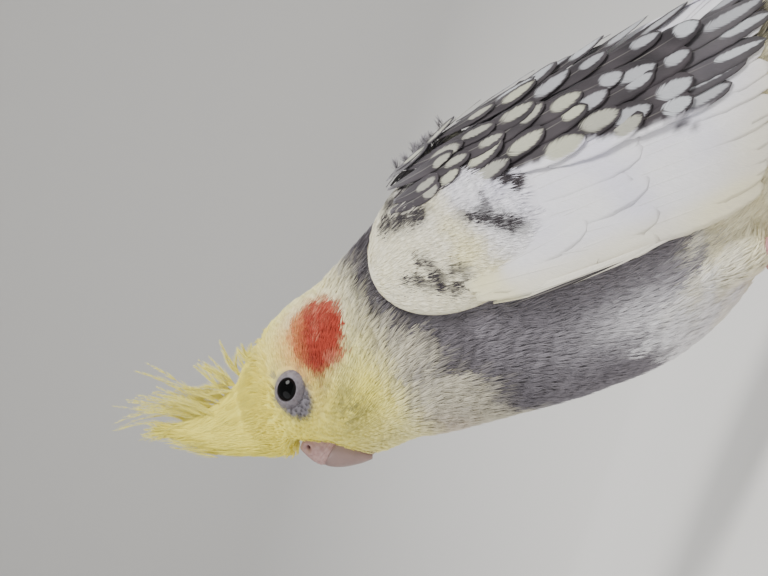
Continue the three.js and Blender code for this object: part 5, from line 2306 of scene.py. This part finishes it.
@dataclass
class Studio:
    """The floor, the backdrop, the lights and the camera of the photo."""

    floor_tone: Colour = srgb(214, 212, 208)
    aim: tuple[float, float, float] = (39.8, 0.0, 106.7)
    roll: float = 20.0
    climb: float = 10.0
    distance: float = 320.0
    lens: float = 57.9

    def floor(self) -> None:
        """A plain floor that curves up into a backdrop."""
        profile = [(1.6, 0.0), (-0.7, 0.0)]
        bend = np.linspace(0, math.pi / 2, 24)[1:]
        profile += [(-0.7 - 0.5 * math.sin(a), 0.5 - 0.5 * math.cos(a)) for a in bend]
        profile.append((-1.2, 2.6))
        points = []
        for y, z in profile:
            points += [(-2.5, y, z - 0.0002), (2.5, y, z - 0.0002)]
        faces = [(2 * i, 2 * i + 1, 2 * i + 3, 2 * i + 2) for i in range(len(profile) - 1)]
        mesh = bpy.data.meshes.new("floor")
        mesh.from_pydata(points, [], [tuple(reversed(f)) for f in faces])
        mesh.shade_smooth()
        material, tree, shader = new_material("floor paper")
        look = {"Base Color": (*self.floor_tone, 1.0), "Roughness": 0.85, "Specular IOR Level": 0.15}
        tree.fill(shader, look)
        mesh.materials.append(material)
        floor = bpy.data.objects.new("floor", mesh)
        bpy.context.scene.collection.objects.link(floor)
        floor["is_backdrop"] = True

    def lamp(self, name: str, at: Array, size: float, power: float, tone: Colour) -> None:
        """A soft round lamp that looks at the bird."""
        data = bpy.data.lights.new(name, "AREA")
        data.shape = "DISK"
        data.size = size
        data.energy = power
        data.color = tone
        lamp = bpy.data.objects.new(name, data)
        where = Vector(at)
        aim = (where - Vector(Place.to_frame(self.aim))).to_track_quat("Z", "Y")
        lamp.matrix_world = Matrix.Translation(where) @ aim.to_matrix().to_4x4()
        bpy.context.scene.collection.objects.link(lamp)

    def lights(self) -> None:
        """A large soft key from the upper front, a fill and a rim."""
        self.lamp("key", (-0.4, 0.75, 0.85), 0.5, 15.0, (1.0, 0.99, 0.97))
        self.lamp("fill", (0.85, 0.6, 0.4), 0.8, 3.6, (0.97, 0.98, 1.0))
        self.lamp("rim", (0.1, -0.75, 0.8), 0.6, 8.0, (1.0, 1.0, 1.0))
        world = bpy.data.worlds.new("soft room")
        world.use_nodes = True
        sky = {"Color": (0.86, 0.88, 0.92, 1), "Strength": 0.45}
        Tree(world.node_tree).fill(world.node_tree.nodes["Background"], sky)
        bpy.context.scene.world = world

    def camera(self) -> None:
        """The photo's camera: at the bird's left, a little below, turned on its side."""
        roll = math.radians(self.roll)
        up = Vector((-math.cos(roll), 0, math.sin(roll)))
        turn = Matrix.Rotation(math.radians(self.climb), 3, up)
        back = turn @ Vector((0, 1, 0))
        side = turn @ Vector((-math.sin(roll), 0, -math.cos(roll)))
        aim = Vector(Place.to_frame(self.aim))
        data = bpy.data.cameras.new("camera")
        data.lens = self.lens
        data.sensor_width = 36
        data.clip_start = 0.01
        camera = bpy.data.objects.new("camera", data)
        axes = Matrix((side, up, back)).transposed().to_4x4()
        camera.matrix_world = Matrix.Translation(aim + back * self.distance * MM) @ axes
        bpy.context.scene.collection.objects.link(camera)
        bpy.context.scene.camera = camera


def write_sizes(before: object, after: object) -> None:
    """Puts the model's box as it was packed and as it is dressed into plain lists, which are not kept."""
    {"packed": plain(before), "dressed": plain(after)}


def plain(value: object) -> object:
    """The same value as plain lists and numbers."""
    if isinstance(value, dict):
        return {str(k): plain(v) for k, v in value.items()}
    if hasattr(value, "__len__") and not isinstance(value, str):
        return [plain(v) for v in value]
    return float(value) if isinstance(value, (int, float)) else value


def main() -> None:
    """Builds every piece in order."""
    logging.basicConfig(level=logging.INFO, format="%(message)s")
    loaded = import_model()
    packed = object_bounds()
    Place.tie(loaded["record"])
    outline = Outline(BODY_STATIONS)
    core = Outline(CREST_STATIONS)
    plumage = Plumage(outline, core)
    coat = CoatFinish().material()
    vanes = VaneFinish().material()
    horns = {"roughness": 0.42, "blotch_size": 0.004, "soft": 0.15, "coat": 0.1}
    horn = BareFinish("bill horn", srgb(158, 131, 124), srgb(134, 112, 108), **horns).material()
    bare = BareFinish(
        "bare skin", srgb(206, 156, 150), srgb(180, 128, 126), roughness=0.55, soft=0.2
    ).material()
    fleshy = {"roughness": 0.55, "uneven": 0.0, "relief": 0.00006, "blotch_size": 0.0012}
    fleshy |= {"grain_size": 0.00025, "blotches": 0.8, "soft": 0.15}
    # the last colour is painted shade in the lids' fold towards the eye
    lid_tones_and_fold_shade = srgb(130, 123, 129), srgb(98, 91, 97), srgb(42, 37, 40)
    lid = BareFinish("eyelid skin", *lid_tones_and_fold_shade, **fleshy).material()
    # the last colour is painted shade inside the nostrils
    cere_tones_and_nostril_shade = srgb(190, 154, 148), srgb(166, 128, 124), srgb(78, 26, 26)
    cere = BareFinish("cere skin", *cere_tones_and_nostril_shade, **fleshy).material()
    claw_tones = srgb(104, 88, 82), srgb(72, 60, 56)
    claw_horn = BareFinish("claw horn", *claw_tones, roughness=0.35, coat=0.2).material()
    grower = CoatGrower()
    skin = Trunk(plumage).build(coat)
    body_tuft = Tuft("body tuft", barbs=8, spread=0.3, width=0.037, seed=3)
    face_tuft = Tuft("face tuft", barbs=7, spread=0.3, width=0.045, seed=5)
    crest_tuft = Tuft("crest tuft", barbs=10, spread=0.13, width=0.013, base=0.07, seed=7)
    zones = (
        CoatZone("coat_rump", body_tuft, -9, 1.0, 1.4, 1.6, 2.3, 0.6, turn=0.12, lie=Lie.FREE, seed=8),
        CoatZone("coat_hind", body_tuft, 1.0, 3.6, 1.45, 1.7, turn=0.16, seed=1),
        CoatZone("coat_belly", body_tuft, 3.6, 5.4, 1.35, 1.7, turn=0.16, seed=2),
        CoatZone("coat_breast", body_tuft, 5.4, 7.2, 1.35, 1.7, turn=0.16, seed=3),
        CoatZone("coat_neck", body_tuft, 7.2, 9.2, 1.2, 1.5, turn=0.14, seed=4),
        CoatZone("coat_cheeks", face_tuft, 9.2, 11.2, 0.85, 0.9, turn=0.14, seed=5),
        CoatZone("coat_face", face_tuft, 11.2, 20, 0.8, 0.8, turn=0.14, seed=6),
        CoatZone("coat_crest", crest_tuft, 22, 40, 0.85, 0.9, turn=0.1, lie=Lie.FREE, seed=7),
    )
    for zone in zones:
        finish_piece(grower.grow(skin, zone, coat), "cream_feathers")
    drop_marks(skin.data, *SKIN_MARKS)
    skin.data.uv_layers["Roots"].name = BAKE_MAP
    finish_piece(skin, "cream_feathers", "head", "neck", "torso", "thigh_left", "thigh_right")
    Wing(SEED + 1, True).build(grower, coat, vanes)
    Wing(SEED + 2, False).build(grower, coat, vanes)
    Tail().build(vanes)
    Crest(core).build(coat)
    Ruffle().build(coat)
    Bill().build(horn, cere)
    eye = EyeFinish().material()
    for left in (True, False):
        Eye(outline, left).build(eye, lid)
        Leg(left).build(bare, claw_horn)
    studio = Studio()
    studio.floor()
    studio.lights()
    studio.camera()
    write_sizes(packed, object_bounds())


if __name__ == "__main__":
    main()
